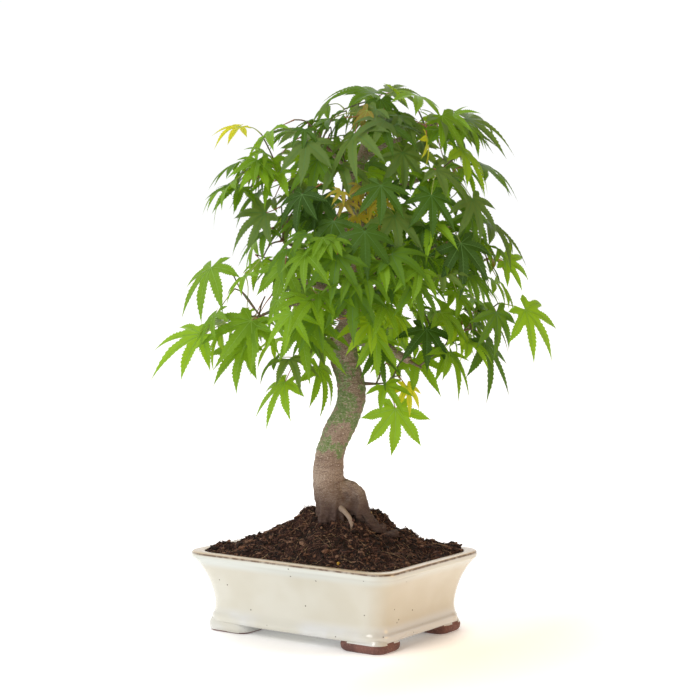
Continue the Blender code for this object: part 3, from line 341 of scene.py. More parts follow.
# No finer leaf reaches into these: left, right, low and high, seen from the front.
OPEN_VIEWS = ((-28, 95, 0, 256), (-75, -45, 0, 262), (-97, -92, 0, 300), (-112, -62, 305, 330),
              (-101, -61, 262, 284), (-97, -63, 284, 312), (112, 150, 335, 385), (-40, 4, 432, 470))

# Leaves at the ends of finer shoots, where the photograph is closed: for each mass, the leaf's
# place (across, toward the viewer, height), heading, droop, roll and size.
FINE_TIPS = {
    "leaves_top_left": ((-53, 18, 421, 160, 45, 0, 0.95),),
    "leaves_top_right": ((69, 20, 450, 50, 40, 0, 0.90),),
    "leaves_right_upper": ((122, 10, 414, 20, 55, 0, 0.90),),
    "leaves_left_upper": ((-48, 22, 388, 150, 50, 0, 0.95),),
    "leaves_front_upper": ((6, 42, 392, 100, 55, 0, 0.95), (28, 40, 386, 60, 55, 0, 0.85)),
    "leaves_left_mid": ((-55, 24, 337, 150, 50, 0, 0.95), (-72, 24, 300, 150, 50, 0, 0.80)),
    "leaves_right_mid": ((138, 6, 297, 20, 60, 0, 0.85), (102, 28, 287, 40, 50, 0, 0.90)),
    "leaves_front_low": ((36, 30, 240, 60, 65, 0, 0.80),),
    "leaves_right_under": ((68, 30, 232, 70, 55, 0, 0.90), (94, 24, 238, 60, 55, 0, 0.85)),
    "leaves_right_low": ((110, 26, 248, 50, 55, 0, 0.90),),
    "leaves_left_under": ((-60, 25, 243, 150, 55, 0, 0.90),),
}

# How the leaves look. Each lobe is widest a third of the way from the notch beside it to its
# point, and ends long and thin. Its half width is given along that way.
LOBE_WAY = (0.0, 0.15, 0.33, 0.5, 0.65, 0.8, 0.9, 1.0)
LOBE_WIDTH = (0.104, 0.122, 0.128, 0.110, 0.074, 0.034, 0.013, 0.0)
# A short lobe keeps this share of its width, and a lobe's edge leaves the notch on a curve.
LOBE_KEEPS = 0.35
LOBE_CURVE = 0.25
# Teeth on each edge of a long lobe, and half as many on a short one. The edge stands out at a
# tooth's point, which comes this far along the tooth, and draws in again behind it.
TEETH = 10
TOOTH_POINT = 0.80
TOOTH_OUT = 1.15
TOOTH_IN = 0.80
TOOTH_UNEVEN = 0.06
# Leaves come in a few shapes, some with wider lobes.
LEAF_SHAPES = 5
LOBE_WIDER = (0.74, 1.08)
# How far a lobe's point sinks under its own weight, as a share of the leaf's reach.
LOBE_WEIGHT = (0.0, 0.62)
# How much the lobes of a leaf, and then whole leaves, differ from the pattern.
LOBE_LONGER = (-0.10, 0.08)
LOBE_CURL = (-0.22, 0.22)
LOBE_HANG = (-0.12, 0.32)
BLADE_WIDER = (0.86, 1.1)
BLADE_FOLD = (0.12, 0.5)
BLADE_DROOP = (-0.08, 0.06)
WIDENS_OVER = 0.2
# Leaves that the rule dealt out hang less steeply than their room allows, by this share,
# unless they hang all but straight down.
HANG_EASED = (0.5, 0.95)
HANG_SPIN = (-42, 42)
STRAIGHT_DOWN = 0.05
# Where the lobes part, as shares of the reach, between long lobes and beside the short ones at
# the stalk, and the angle from a last lobe's midrib at which the leaf ends there.
SINUS = 0.33
BASAL_SINUS = 0.235
OPEN_SIDE = 26
# Veins: the side veins' slant, how near to the heart they may leave the midrib, how far out
# to the edge they reach, then the midrib's widths, lift over the blade, steps and reach.
VEIN_SLANT = 0.7
VEIN_FIRST = 0.6
VEIN_OUT = 0.85
VEIN_WIDE = 0.0065
VEIN_THIN = 0.0015
VEIN_LIFT = 0.003
MIDRIB_LIFT = 1.4 * VEIN_LIFT
VEIN_STEPS = 6
MIDRIB_REACH = 0.94

# Leaves that the photograph shows plainly: for each mass, the leaf's number, then how it is
# turned (its heading, droop, roll and size, or None for its solid's) and the number of its green.
TIP_LOOKS = {
    "leaves_crown_top": {0: ((200, -20, -15, 1.15), 3), 1: ((340, -12, 30, 0.85), 2),
                         2: ((100, 36, 30, 1.25), 2)},
    "leaves_top_left": {0: ((180, -12, 0, 1.05), 3), 1: ((160, -12, -15, 1.05), 2)},
    "leaves_top_right": {0: ((350, 4, 0, 1.15), 2), 1: ((350, 12, 30, 1.25), 2), 2: ((40, 76, -30, 0.69), 7),
                         3: ((30, 44, 0, 1.15), 6)},
    "leaves_right_upper": {0: ((0, 20, 15, 1.05), 3), 1: ((0, 28, 15, 1.15), 2)},
    "leaves_right_mid": {0: ((340, 20, 60, 0.85), 5), 1: (None, 0)},
    "leaves_right_low": {0: ((0, 44, 45, 1.15), 5), 2: ((70, 52, -30, 1.25), 1), 3: ((60, 44, -30, 1.05), 4),
                         4: (None, 0)},
    "leaves_right_under": {0: ((90, 82, 0, 1.04), 5), 1: ((180, 44, 0, 0.80), 4), 2: (None, 7), 3: (None, 5)},
    "leaves_left_upper": {0: ((150, 12, -15, 0.69), 7), 1: ((130, 12, -15, 0.85), 3),
                          2: ((170, 28, 0, 0.85), 4)},
    "leaves_left_mid": {0: ((190, 28, -60, 1.05), 2)},
    "leaves_left_low": {0: ((120, 44, 15, 1.25), 4), 1: ((160, 20, -30, 1.25), 5),
                        2: ((130, 36, -30, 1.25), 4), 3: ((180, 36, -45, 1.15), 4)},
    "leaves_left_under": {0: ((30, 36, 45, 1.25), 4), 1: ((140, 44, 0, 1.05), 5), 2: ((30, 68, 0, 1.05), 4)},
    "leaves_front_mid": {0: (None, 3), 1: (None, 3), 2: (None, 1)},
    "leaves_front_upper": {0: (None, 2), 1: (None, 1), 2: (None, 1)},
    "leaves_front_low": {0: (None, 3), 1: (None, 5)},
}
# Leaves that shift (across, toward the viewer and up, in millimetres) or are left off, so that
# the trunk and the sky show where the photograph has them.
SHIFTED = {
    "leaves_left_under": {2: (-9, -20, 0)},
    "leaves_front_low": {5: (-24, -4, 10)},
    "leaves_left_low": {4: (0, 0, -12), 5: (0, 0, -9)},
    "leaves_back_left": {1: (24, 0, 4), 3: (14, 0, -14)},
    "leaves_right_upper": {5: (-10, 0, 0)},
}
LEFT_OFF = {"leaves_left_low": (8, 11, 12), "leaves_back_left": (7, 10), "leaves_right_upper": (6, 7)}

# Leaf greens from dark to bright, then the yellows of young leaves.
LEAF_TINTS = (
    ("deep green", (0.046, 0.108, 0.012)),
    ("shade green", (0.072, 0.158, 0.016)),
    ("dusty green", (0.135, 0.222, 0.048)),
    ("mid green", (0.118, 0.240, 0.016)),
    ("leaf green", (0.165, 0.315, 0.018)),
    ("fresh green", (0.212, 0.395, 0.020)),
    ("bright green", (0.285, 0.470, 0.022)),
    ("yellow green", (0.560, 0.570, 0.030)),
    ("amber green", (0.420, 0.350, 0.045)),
    ("dull amber", (0.300, 0.235, 0.040)),
)
# So many tints take the dark vein. The greens of sprays end with the brightest one, and the
# last tints are those of young leaves.
DARK_TINTS = 4
BRIGHTEST = 6
YOUNG_TINTS = 2
VEIN_TINTS = (("of dark leaf", (0.110, 0.240, 0.050)), ("of bright leaf", (0.270, 0.470, 0.060)))
# Light that has passed through a leaf is yellower.
THROUGH = (1.75, 1.5, 0.6)
# Sprays over the first height are top ones and those under the second are low ones. The others
# are outer or inner ones by their distance from the trunk. Each kind has its choice of tints.
TOP_SPRAYS = 0.375
LOW_SPRAYS = 0.285
OUTER_SPRAYS = 0.085
INNER_SPRAYS = 0.055
TOP_CHOICE = (1, 2, 2, 3, 3, 4, 4, 5)
LOW_CHOICE = (3, 3, 4, 4, 5, 5, 6)
OUTER_CHOICE = (2, 3, 3, 4, 4, 4, 5, 5)
# Inner sprays take the darkest greens: painted shade of the crown's inside.
INNER_SHADE_CHOICE = (0, 0, 1, 1, 2, 3, 3)
# A leaf may be a step darker or brighter than its spray, and a small one may be young.
TINT_STEPS = (-1, 0, 0, 0, 1)
YOUNG_SIZE = 0.60
YOUNG_SHARE = 0.15
# Small yellow and orange leaves among the green ones in front: left, right, low and high,
# seen from the front, how far toward the viewer at least, and their share of a leaf's size.
YOUNG_VIEW = (0, 42, 345, 380)
YOUNG_TOWARD = 25 * MM
YOUNG_SMALLER = 0.6
RED_STALKS = 0.35

# Light that the blades and the veins let through.
BLADE_THROUGH = 0.38
VEIN_THROUGH = 0.3

# Twigs as they look: radii, and how far a stem starts inside its bough.
STEM_LOOK = 1.6 * MM
SHOOT_LOOK = 0.85 * MM
STALK_LOOK = 0.42 * MM
STEM_SUNK = 4 * MM
STALK_SAG = (-0.05, 0.12)
# A shoot's end and a stalk's start are this much thicker than a stalk.
SHOOT_END = 1.4
STALK_START = 1.6
# Sides and steps of the tubes.
STEM_MESH = (7, 2)
SHOOT_MESH = (6, 5)
STALK_MESH = (5, 4)
FRONT_ROOT_MESH = (12, 6)
FRONT_ROOT_WAVES = 300
FRONT_ROOT_WAVE = 0.4 * MM
# The twig of a leaf in a pair has this many points, and a shoot's has more.
PAIR_TWIG = 3
TWIG_TINTS = ((0.10, 0.13, 0.045), (0.17, 0.075, 0.045))

# Bark's colours, and between which heights in metres the moss, the dark foot and the damp
# part of it come and go.
SKIN_TINTS = ((0.3, (0.155, 0.100, 0.070)), (0.47, (0.275, 0.195, 0.142)), (0.62, (0.46, 0.36, 0.28)))
RING_TINT = (0.15, 0.09, 0.068)
MOSS_TINTS = ((0.116, 0.182, 0.057), (0.228, 0.288, 0.121))
MOSS_FROM = (0.122, 0.158)
MOSS_TO = (0.205, 0.225)
SEAM_TINT = (0.42, 0.30, 0.24)
FLECK_TINT = (0.62, 0.52, 0.45)
# The dark foot is painted shade where the trunk meets the soil, over bark darkened by the soil.
FOOT_SHADE_AND_SOIL_TINT = (0.070, 0.040, 0.032)
FOOT_TO = (0.102, 0.132)
DAMP_TINT = (0.038, 0.018, 0.014)
DAMP_TO = (0.090, 0.106)
ROOT_TINTS = ((0.20, 0.13, 0.09), (0.40, 0.31, 0.24))

# Glaze and clay: colours, and the heights between which the milky band, the thick glaze at the
# bottom with its painted highlights, the tan rim and the brown line on its edge come and go.
CREAM_TINTS = ((0.590, 0.578, 0.505), (0.550, 0.528, 0.442))
MILK_TINT = (0.60, 0.66, 0.66)
MILK_FROM = (0.0545, 0.0605)
MILK_TO = (0.0640, 0.0665)
THICK_GLAZE_AND_HIGHLIGHT_TINT = (0.66, 0.69, 0.73)
THICK_GLAZE_AND_HIGHLIGHT_TO = (0.014, 0.024)
RIM_TINT = (0.60, 0.46, 0.30)
RIM_FROM = (0.0668, 0.0674)
LINE_TINT = (0.12, 0.065, 0.035)
LINE_FROM = (0.0657, 0.0664)
LINE_TO = (0.0673, 0.0677)
PIT_TINT = (0.05, 0.035, 0.025)
PITS_OFTEN = 125.0
CLAY_TINTS = ((0.11, 0.044, 0.036), (0.19, 0.082, 0.064))
GRIT_TINT = (0.40, 0.24, 0.18)
# Height of the glaze's edge on the feet: in front and behind at the left, and at the right. It
# waves this often to the metre and this far.
CLAY_LEFT = (1.2 * MM, 3.0 * MM)
CLAY_RIGHT = 7.6 * MM
CLAY_WAVES = 90
CLAY_WAVE = 1.2 * MM

# Bark: its relief, and how often it comes to the metre, around the trunk and along it: knobs,
# folds, fibres, and flutes that fade out over the foot.
KNOBS_OFTEN = (70, 55)
FOLDS_OFTEN = (60, 420)
FIBRES_OFTEN = (500, 260)
FLUTES_OFTEN = (190, 40)
# Height in millimetres at which the wood ends inside the mound. Its relief starts a little over
# that, so that the cut stays flat.
GROUND_CUT = 82.0
RELIEF_FROM = 82.5
BARK_SIDES = 18
BARK_VOXEL = 0.9 * MM
BARK_SMOOTHED = 4
KNOB_RELIEF = 1.0 * MM
FOLD_RELIEF = 0.6 * MM
FIBRE_RELIEF = 0.35 * MM
FLUTE_RELIEF = 6.5 * MM
FOOT_ZONE = 48 * MM
# Radius in millimetres from which the relief is at its full depth.
FULL_RELIEF_FROM = 12
# A crease in front, between the trunk and the knob at its right: points across and up, in
# millimetres, its depth and its half width.
CREASE = ((9, 129), (14, 118), (18, 106), (24, 96))
CREASE_DEPTH = 2.6 * MM
CREASE_HALF = 3.2

# Soil: rings of its mesh, its distance from the wall at its edge and lower down in
# millimetres, how far down its side goes, how far the mound sinks between its top and the
# wall, and its unevenness: how often to the metre and how many millimetres high.
FINE_SOIL_RINGS = 60
SOIL_OFF_WALL = (0.2, 0.4)
SOIL_SIDE = 9 * MM
SOIL_HOLLOW = 5.5 * MM
CLODS = (110, 3.4)
CRUMBS = (300, 4.6)
SPECKS = (700, 1.3)
CRUMBS_SUNK = 1.3
# At the wall the soil is evener: this share of its bumps is left there, and how fast they grow.
EVEN_AT_WALL = 0.4
EVEN_GROWS = 4
# Clumps of the soil: across, toward the viewer, height and radius in millimetres.
SOIL_CLUMPS = ((27, 0, 9, 8), (-24, -2, 10, 8), (-38, 6, 4, 6), (36, -14, 10, 8), (46, -8, 5, 6),
               (66, -12, 5, 5), (20, 24, 5, 9), (-14, 34, 4, 10), (60, 10, 3, 8), (96, 6, 4, 9),
               (-98, -8, 4, 9), (106, -4, 5, 9), (-70, 20, 3, 9), (-2, 52, 3, 12), (88, -18, 4, 8))
SOIL_TINTS = ((0.34, (0.008, 0.004, 0.004)), (0.5, (0.032, 0.016, 0.013)), (0.62, (0.095, 0.048, 0.032)),
              (0.75, (0.19, 0.105, 0.065)))
# What lies on the soil is a little above it, and drops onto it from a height. Fibres: their
# count, then each one's joints, steps, bends, rise and fall, radius, and how thin it ends.
LITTER_LIFT = 0.1 * MM
OVER_SOIL = 0.2
FIBRES = 4200
FIBRE_SUNK = 0.3 * MM
FIBRE_JOINTS = 5
FIBRE_STEP = (1.2 * MM, 5.0 * MM)
FIBRE_BEND = (-0.7, 0.7)
FIBRE_UNEVEN = (0.4, 1.0)
FIBRE_RISE = (0.0, 0.0, 0.0, 0.05, 0.15, 0.4)
FIBRE_FALLS = 0.12
FIBRE_RADIUS = (0.10 * MM, 0.26 * MM)
FIBRE_POINT = 0.4
FIBRE_CHOICE = (0, 0, 0, 0, 1, 1, 1, 1, 1, 2, 2, 3)
# Chips and grains: counts, half sizes in millimetres, tilt and lumpiness. Now and then a chip
# is a larger clod.
CHIPS = 1500
CHIP_SIDES = ((1.0, 3.6), (0.7, 2.2), (0.4, 1.4))
CHIP_TILT = (-0.5, 0.5)
CHIP_LUMPS = (0.75, 1.15)
CHIP_CHOICE = (0, 0, 0, 1, 1, 2, 4)
CLOD_EVERY = 16
CLOD_LARGER = 1.8
GRAINS = 2000
GRAIN_SIDE = (0.5, 1.6)
GRAIN_CHOICE = (0, 0, 0, 1, 1, 4)
LITTER_TINTS = (
    ("black fibre", (0.012, 0.008, 0.006), (0.030, 0.018, 0.013)),
    ("brown fibre", (0.050, 0.022, 0.016), (0.110, 0.052, 0.036)),
    ("tan fibre", (0.15, 0.08, 0.05), (0.26, 0.15, 0.095)),
    ("straw fibre", (0.30, 0.20, 0.11), (0.42, 0.29, 0.17)),
    ("reddish chip", (0.10, 0.045, 0.025), (0.19, 0.095, 0.055)),
)
# Pellets: point of the photograph where each one shows, and its radius in millimetres.
PELLETS = (((370, 514), 1.8), ((338.5, 564.5), 1.4))
PELLET_LUMPS = 900
PELLET_LUMP = 0.08
PELLET_TINTS = ((0.50, 0.26, 0.015), (0.72, 0.44, 0.03))

# Camera, floor and lights.
PHOTO_SIDE = 700
LENS = 90.0
SENSOR = 36.0
CAMERA_TURN = math.radians(34.71)
CAMERA_LIFT = math.radians(3.1)
CAMERA_AWAY = 1.479
TARGET = Vector((0.0132 * math.cos(CAMERA_TURN), 0.0132 * math.sin(CAMERA_TURN), 0.2382))
# The floor: half its side, its tones, and its glow, which is weaker under the pot as a painted shadow.
FLOOR = 40.0
FLOOR_UNDER = 0.05 * MM
FLOOR_TINTS = ((0.85, 0.85, 0.85), (0.87, 0.87, 0.865))
FLOOR_GLOW = 0.55
GLOW_UNDER = 0.35
GLOW_AWAY = (0.085, 0.125)
# The floor glows warm beside the pot's short end, as painted warm light.
WARM_BESIDE = (0.04, 0.14)
WARM_AWAY = (0.17, 0.34)
PAINTED_WARM_GLOW = (1.0, 0.68, 0.36)
# The surround is even, and dimmer on the side that the pot's short end faces: the side's
# direction, where the dimming starts and ends along it and up from the floor, and the light
# at either end.
SHADE_SIDE = (0.98, 0.2, 0.0)
SHADE_RANGE = (-0.12, 0.5)
SHADE_RISE = (0.12, 0.32)
SURROUND_LIGHT = (1.02, 1.02, 1.02)
SURROUND_SHADE = (0.20, 0.08, 0.0)
# Lights: across, toward the viewer and up in metres, size, power, colour and how high each
# one aims.
LIGHTS = (
    ("key", -0.9, 1.3, 1.5, 1.1, 14.0, (1.0, 0.985, 0.96), 0.22),
    ("back", 0.2, -1.4, 1.3, 1.2, 6.0, (1.0, 1.0, 1.0), 0.22),
    ("warm side", 0.46, 0.24, 0.11, 0.18, 0.30, (1.0, 0.56, 0.12), 0.03),
)


def world(across, toward, height):
    """Point in metres from millimetres across, toward the viewer and up."""
    turn_x = across * math.cos(FACING) + toward * math.sin(FACING)
    turn_y = across * math.sin(FACING) - toward * math.cos(FACING)
    return Vector((turn_x, turn_y, height)) * MM


def plan_direction(angle):
    """Level direction at a plan angle in degrees, from across toward the viewer."""
    turn = math.radians(angle)
    return world(math.cos(turn), math.sin(turn), 0.0).normalized()


def rounded_outline(length, width, corner, bow, turns, along, aside):
    """Points round a rounded rectangle, counter-clockwise, with sides that may bow out."""
    half_x = length / 2 - corner
    half_y = width / 2 - corner
    points = []
    corners = ((1, 1, 0, along), (-1, 1, 90, aside), (-1, -1, 180, along), (1, -1, 270, aside))
    for sign_x, sign_y, start, steps in corners:
        for step in range(turns + 1):
            angle = math.radians(start + 90 * step / turns)
            x = sign_x * half_x + corner * math.cos(angle)
            y = sign_y * half_y + corner * math.sin(angle)
            points.append([x, y])
        for step in range(1, steps):
            share = step / steps
            if steps == along:
                points.append([x - sign_x * 2 * half_x * share, y])
            else:
                points.append([x, y - sign_y * 2 * half_y * share])
    for point in points:
        if abs(point[0]) < half_x:
            point[1] += math.copysign(bow * (1 - (point[0] / half_x) ** 2), point[1])
    return points


def loft(rings, closed_bottom=True, closed_top=True):
    """Points and faces through rings that all have the same count of points."""
    count = len(rings[0])
    points = [point for ring in rings for point in ring]
    faces = []
    for ring in range(len(rings) - 1):
        for i in range(count):
            j = (i + 1) % count
            low = ring * count
            faces.append((low + i, low + j, low + count + j, low + count + i))
    if closed_bottom:
        faces.append(tuple(reversed(range(count))))
    if closed_top:
        faces.append(tuple(range(len(points) - count, len(points))))
    return points, faces


def smooth_path(rows, steps):
    """Rows of numbers on a smooth curve that passes through the given rows."""
    ends = [rows[0], *rows, rows[-1]]
    path = []
    for i in range(1, len(ends) - 2):
        for step in range(steps):
            t = step / steps
            row = []
            for a, b, c, d in zip(*ends[i - 1:i + 3]):
                bend = (2 * a - 5 * b + 4 * c - d) * t * t + (3 * b - a - 3 * c + d) * t ** 3
                row.append(0.5 * (2 * b + (c - a) * t + bend))
            path.append(row)
    path.append(list(rows[-1]))
    return path


def limb_solid(path, radii, sides):
    """Points and faces of a closed limb with flat ends, of few sides, along a path."""
    rings = []
    sideways = None
    for i, point in enumerate(path):
        ahead = (path[min(i + 1, len(path) - 1)] - path[max(i - 1, 0)]).normalized()
        if sideways is None:
            sideways = ahead.orthogonal().normalized()
        sideways = (sideways - ahead * sideways.dot(ahead)).normalized()
        across = ahead.cross(sideways)
        ring = []
        for side in range(sides):
            turn = math.tau * side / sides
            ring.append(point + (sideways * math.cos(turn) + across * math.sin(turn)) * radii[i])
        rings.append(ring)
    return loft(rings)


def air_round(path, radii):
    """Points and faces of the space round a twig that other solids keep out of."""
    return limb_solid(path, [radius / math.cos(math.pi / AIR_SIDES) + AIR for radius in radii], AIR_SIDES)


def leaf_outline(lobes):
    """Angle and reach of each lobe's point and of the notches between them."""
    outline = []
    for (angle, reach), following in zip(lobes, lobes[1:] + lobes[:1]):
        outline.append((angle, reach))
        if following[0] > angle:
            basal = min(reach, following[1]) < BASAL_REACH
            outline.append(((angle + following[0]) / 2, BASAL_NOTCH if basal else NOTCH))
    return outline


def blade_rim(heart, along, upper, size, outline, air=0.0):
    """Points round a leaf, whose lobes curve down from its heart."""
    aside = along.cross(upper)
    reach = LEAF_REACH * size
    rim = []
    for angle, share in outline:
        turn = math.radians(angle)
        out = reach * share + air
        flat = along * math.cos(turn) + aside * math.sin(turn)
        rim.append(heart + flat * out - upper * (LEAF_DROOP * out * out / reach))
    return rim


def blade_guard(heart, along, upper, size, outline):
    """A leaf's blade with air round it, for testing what it would touch."""
    rim = blade_rim(heart, along, upper, size, outline, AIR)
    rim.append(heart - along * (STALK_END * LEAF_REACH * size + 2 * AIR))
    count = len(rim)
    lift = upper * (LEAF_THICK / 2 + 2 * AIR)
    faces = []
    for i in range(count):
        j = (i + 1) % count
        faces += [(count, j, i), (count + 1, i, j)]
    return rim + [heart + lift, heart - lift], faces


def leaf_solid(path, radii, heart, along, upper, size, outline):
    """A leaf and the three-sided twig that it hangs on, as one closed solid.

    The twig's path ends in the notch behind the leaf's heart. The blade's two faces fan
    out from points over and under the heart, and meet the twig's last ring there. The
    first length, which sinks into what carries the twig, has parallel sides.
    """
    across = along.cross(upper)
    rim = blade_rim(heart, along, upper, size, outline)
    rings = []
    ahead = along
    for i in reversed(range(len(path))):
        if 0 < i < len(path) - 1:
            before = ahead
            ahead = (path[i + 1] - path[i - 1]).normalized()
            across.rotate(before.rotation_difference(ahead))
        low = ahead.cross(across)
        rings.insert(0, [path[i] + side * radii[max(i, 1)] for side in (across, -across, low)])
    lift = upper * (LEAF_THICK / 2)
    points = [point for ring in rings for point in ring] + rim + [heart + lift, heart - lift]
    faces = [(0, 1, 2), (1, 0, 3, 4), (2, 1, 4, 5), (0, 2, 5, 3)]
    for ring in range(1, len(rings) - 1):
        for i in range(3):
            near = 3 * ring + i
            beside = 3 * ring + (i + 1) % 3
            faces += [(beside, near, near + 3), (beside, near + 3, beside + 3)]
    left, right, lower = (3 * (len(rings) - 1) + i for i in range(3))
    first = 3 * len(rings)
    last = first + len(rim) - 1
    top, bottom = last + 1, last + 2
    for i in range(first, last):
        faces += [(top, i + 1, i), (bottom, i, i + 1)]
    faces += [(top, first, right), (top, right, left), (top, left, last)]
    faces += [(lower, right, first), (lower, last, left), (bottom, lower, first), (bottom, last, lower)]
    return points, faces


SEVEN_LOBES = leaf_outline(SEVEN)
FIVE_LOBES = leaf_outline(FIVE)


Leaf = namedtuple("Leaf", "twig radii heart along upper size seven spray")


class Crown:
    """The solids that stand in the crown, which twigs and leaves keep clear of."""

    def __init__(self):
        self.trees = []
        self.low = np.zeros((MOST_STANDING, 3))
        self.high = np.zeros((MOST_STANDING, 3))

    def stand(self, solid):
        """Add a solid and return its number."""
        number = len(self.trees)
        corners = np.array(solid[0])
        self.low[number] = corners.min(axis=0)
        self.high[number] = corners.max(axis=0)
        self.trees.append(BVHTree.FromPolygons(*solid))
        return number

    def touches(self, solid, apart_from=()):
        """Say whether a solid touches any that stands, apart from some numbers."""
        corners = np.array(solid[0])
        count = len(self.trees)
        past = self.low[:count] > corners.max(axis=0) + TINY
        apart = past | (self.high[:count] < corners.min(axis=0) - TINY)
        near = [number for number in np.flatnonzero(~apart.any(axis=1)) if number not in apart_from]
        if not near:
            return False
        tree = BVHTree.FromPolygons(*solid)
        return any(tree.overlap(self.trees[number]) for number in near)


def bezier(a, b, c, d, steps):
    """Points on a cubic curve."""
    path = []
    for step in range(steps + 1):
        t = step / steps
        s = 1 - t
        path.append(a * s ** 3 + b * (3 * s * s * t) + c * (3 * s * t * t) + d * t ** 3)
    return path


def hanging(heading, droop):
    """A leaf's directions: along its middle lobe, and out of its upper face."""
    tilt = math.radians(droop)
    return heading * math.cos(tilt) - UP * math.sin(tilt), heading * math.sin(tilt) + UP * math.cos(tilt)


def rolled(along, upper, roll):
    """The upper direction turned about the middle lobe."""
    turn = math.radians(roll)
    return (upper * math.cos(turn) + along.cross(upper) * math.sin(turn)).normalized()


class Mass:
    """One mass of leaves: a stem, the shoots that branch from it and their leaves."""

    def __init__(self, name, crown, seed):
        self.name = name
        self.crown = crown
        self.draw = random.Random(seed)
        self.spine = []
        self.shoots = []
        self.tips = []
        self.leaves = []
        self.finer = False
        self.own = set()

    def grow_stem(self, start, direction):
        """The stem starts square at its bough's tip and ends where the shoots part."""
        fork = start + direction * STEM_LENGTH
        path = [start, fork]
        self.stem = path
        self.own.add(self.crown.stand(air_round(path, [STEM_RADIUS, SHOOT_RADIUS])))
        self.spine.append((start + direction * STEM_LENGTH * 0.8, direction))

    def parting(self, heart):
        """The point of the spine that a shoot to this leaf leaves from, and its direction."""
        best = None
        for point, direction in self.spine:
            gap = heart - point
            bend = TURN_COST - gap.normalized().dot(direction)
            cost = gap.length * bend
            if best is None or cost < best[0]:
                best = (cost, point, direction)
        return best[1:]

    def grow_tip(self, heart, heading, droop, roll, size):
        """A shoot out to a leaf that hangs at its end; it shifts a little to find room."""
        wanted = heart
        for attempt in range(TIP_TRIES):
            loose = min(attempt, LOOSEST)
            heart = wanted + plan_direction(90) * self.draw.uniform(-SHIFT_ASIDE, SHIFT_ASIDE) * loose
            heart += UP * self.draw.uniform(-SHIFT_UP, SHIFT_UP) * loose
            along, upper = hanging(heading, droop + self.draw.uniform(-SHIFT_DROOP, SHIFT_DROOP) * loose)
            upper = rolled(along, upper, roll + self.draw.uniform(-ROLL_SPREAD, ROLL_SPREAD))
            base = heart - along * (STALK_END * LEAF_REACH * size)
            start, direction = self.parting(base)
            way = (base - start).normalized()
            reach = (base - start).length
            lift = reach * (self.draw.uniform(*ARCHES) if attempt else ARCH)
            arrival = (way + along * self.draw.uniform(*ARRIVAL)).normalized()
            joint = base - arrival * min(STALK_LENGTH, reach * STALK_SHARE) + UP * lift * ARCH_AT_STALK
            aim = (direction + way).normalized()
            near = start + aim * NEAR_HANDLE * reach
            far = joint - arrival * FAR_HANDLE * reach + UP * lift
            path = bezier(start, near, far, joint, 2)
            path += [base - along * STALK_BEND * size, base]
            if self.add_shoot(path, heart, along, upper, size):
                self.tips.append(heart)
                return True
        return False

    def add_shoot(self, path, heart, along, upper, size):
        """Stand a shoot and the leaf at its end in the crown if they touch nothing."""
        middle = (SHOOT_RADIUS + SHOOT_TIP_RADIUS) / 2
        radii = [SHOOT_RADIUS, middle, SHOOT_TIP_RADIUS, STALK_RADIUS, STALK_RADIUS]
        self.spray = len(self.shoots)
        if not self.stand_leaf(path, radii, heart, along, upper, size, SEVEN_LOBES):
            return False
        shoot = path[:-2]
        for before, after in zip(shoot, shoot[1:]):
            for share in SHOOT_JOINTS:
                self.spine.append((before.lerp(after, share), (after - before).normalized()))
        self.shoots.append(shoot)
        return True

    def stand_leaf(self, path, radii, heart, along, upper, size, outline):
        """Stand a leaf and its twig in the crown if they touch nothing, nor each other."""
        if self.finer:
            return self.stand_finer(path, radii, heart, along, upper, size)
        blade = blade_guard(heart, along, upper, size, outline)
        if self.crown.touches(blade):
            return False
        guard = air_round(path, radii)
        behind = BVHTree.FromPolygons(*air_round(path[:-1], radii[:-1]))
        if self.crown.touches(guard, self.own) or behind.overlap(BVHTree.FromPolygons(*blade)):
            return False
        solid = leaf_solid(path, radii, heart, along, upper, size, outline)
        if self.crown.touches(solid, self.own):
            return False
        self.leaves.append(Leaf(path, radii, heart, along, upper, size, outline is SEVEN_LOBES, self.spray))
        self.own.add(self.crown.stand(guard))
        self.own.add(self.crown.stand(solid))
        self.crown.stand(blade)
        return True

    def stand_finer(self, path, radii, heart, along, upper, size):
        """Stand a finer leaf, whose points may come close to other leaves."""
        blade = blade_rim(heart, along, upper, size * FINE_GUARD, FIVE_LOBES)
        fan = [(len(blade), i, (i + 1) % len(blade)) for i in range(len(blade))]
        blade = (blade + [heart], fan)
        if self.crown.touches(blade):
            return False
        guard = limb_solid(path, [STALK_LOOK] * len(path), TWIG_SIDES)
        if self.crown.touches(guard, self.own):
            return False
        self.leaves.append(Leaf(path, radii, heart, along, upper, size, False, self.spray))
        self.own.add(self.crown.stand(guard))
        self.crown.stand(blade)
        return True

    def grow_tips(self, rows):
        """Shoots out to leaves whose places and angles are given."""
        for across, toward, height, angle, *hang in rows:
            self.grow_tip(world(across, toward, height), plan_direction(angle), *hang)

    def grow_fan(self, middle, reach, count):
        """Tips spread evenly round a middle point, pointing away from the trunk."""
        for i in range(count):
            level = 1 - 2 * (i + 0.5) / count
            ring = math.sqrt(1 - level * level)
            turn = GOLDEN_ANGLE * i + self.draw.uniform(*FAN_TURN)
            offset = (ring * math.cos(turn) * reach[0], ring * math.sin(turn) * reach[1], level * reach[2])
            heart = world(*(m + o for m, o in zip(middle, offset)))
            outward = off_trunk(heart)
            for attempt in range(FAN_TRIES):
                spin = self.draw.uniform(-FAN_SPIN, FAN_SPIN) * attempt / FAN_TRIES
                heading = turned(outward, spin)
                droop = self.draw.uniform(*FAN_DROOP)
                shift = Vector([self.draw.uniform(-1, 1) for side in "xyz"]) * attempt * FAN_SHIFT
                if self.grow_tip(heart + shift, heading, droop, 0, self.draw.uniform(*FAN_SIZE)):
                    break

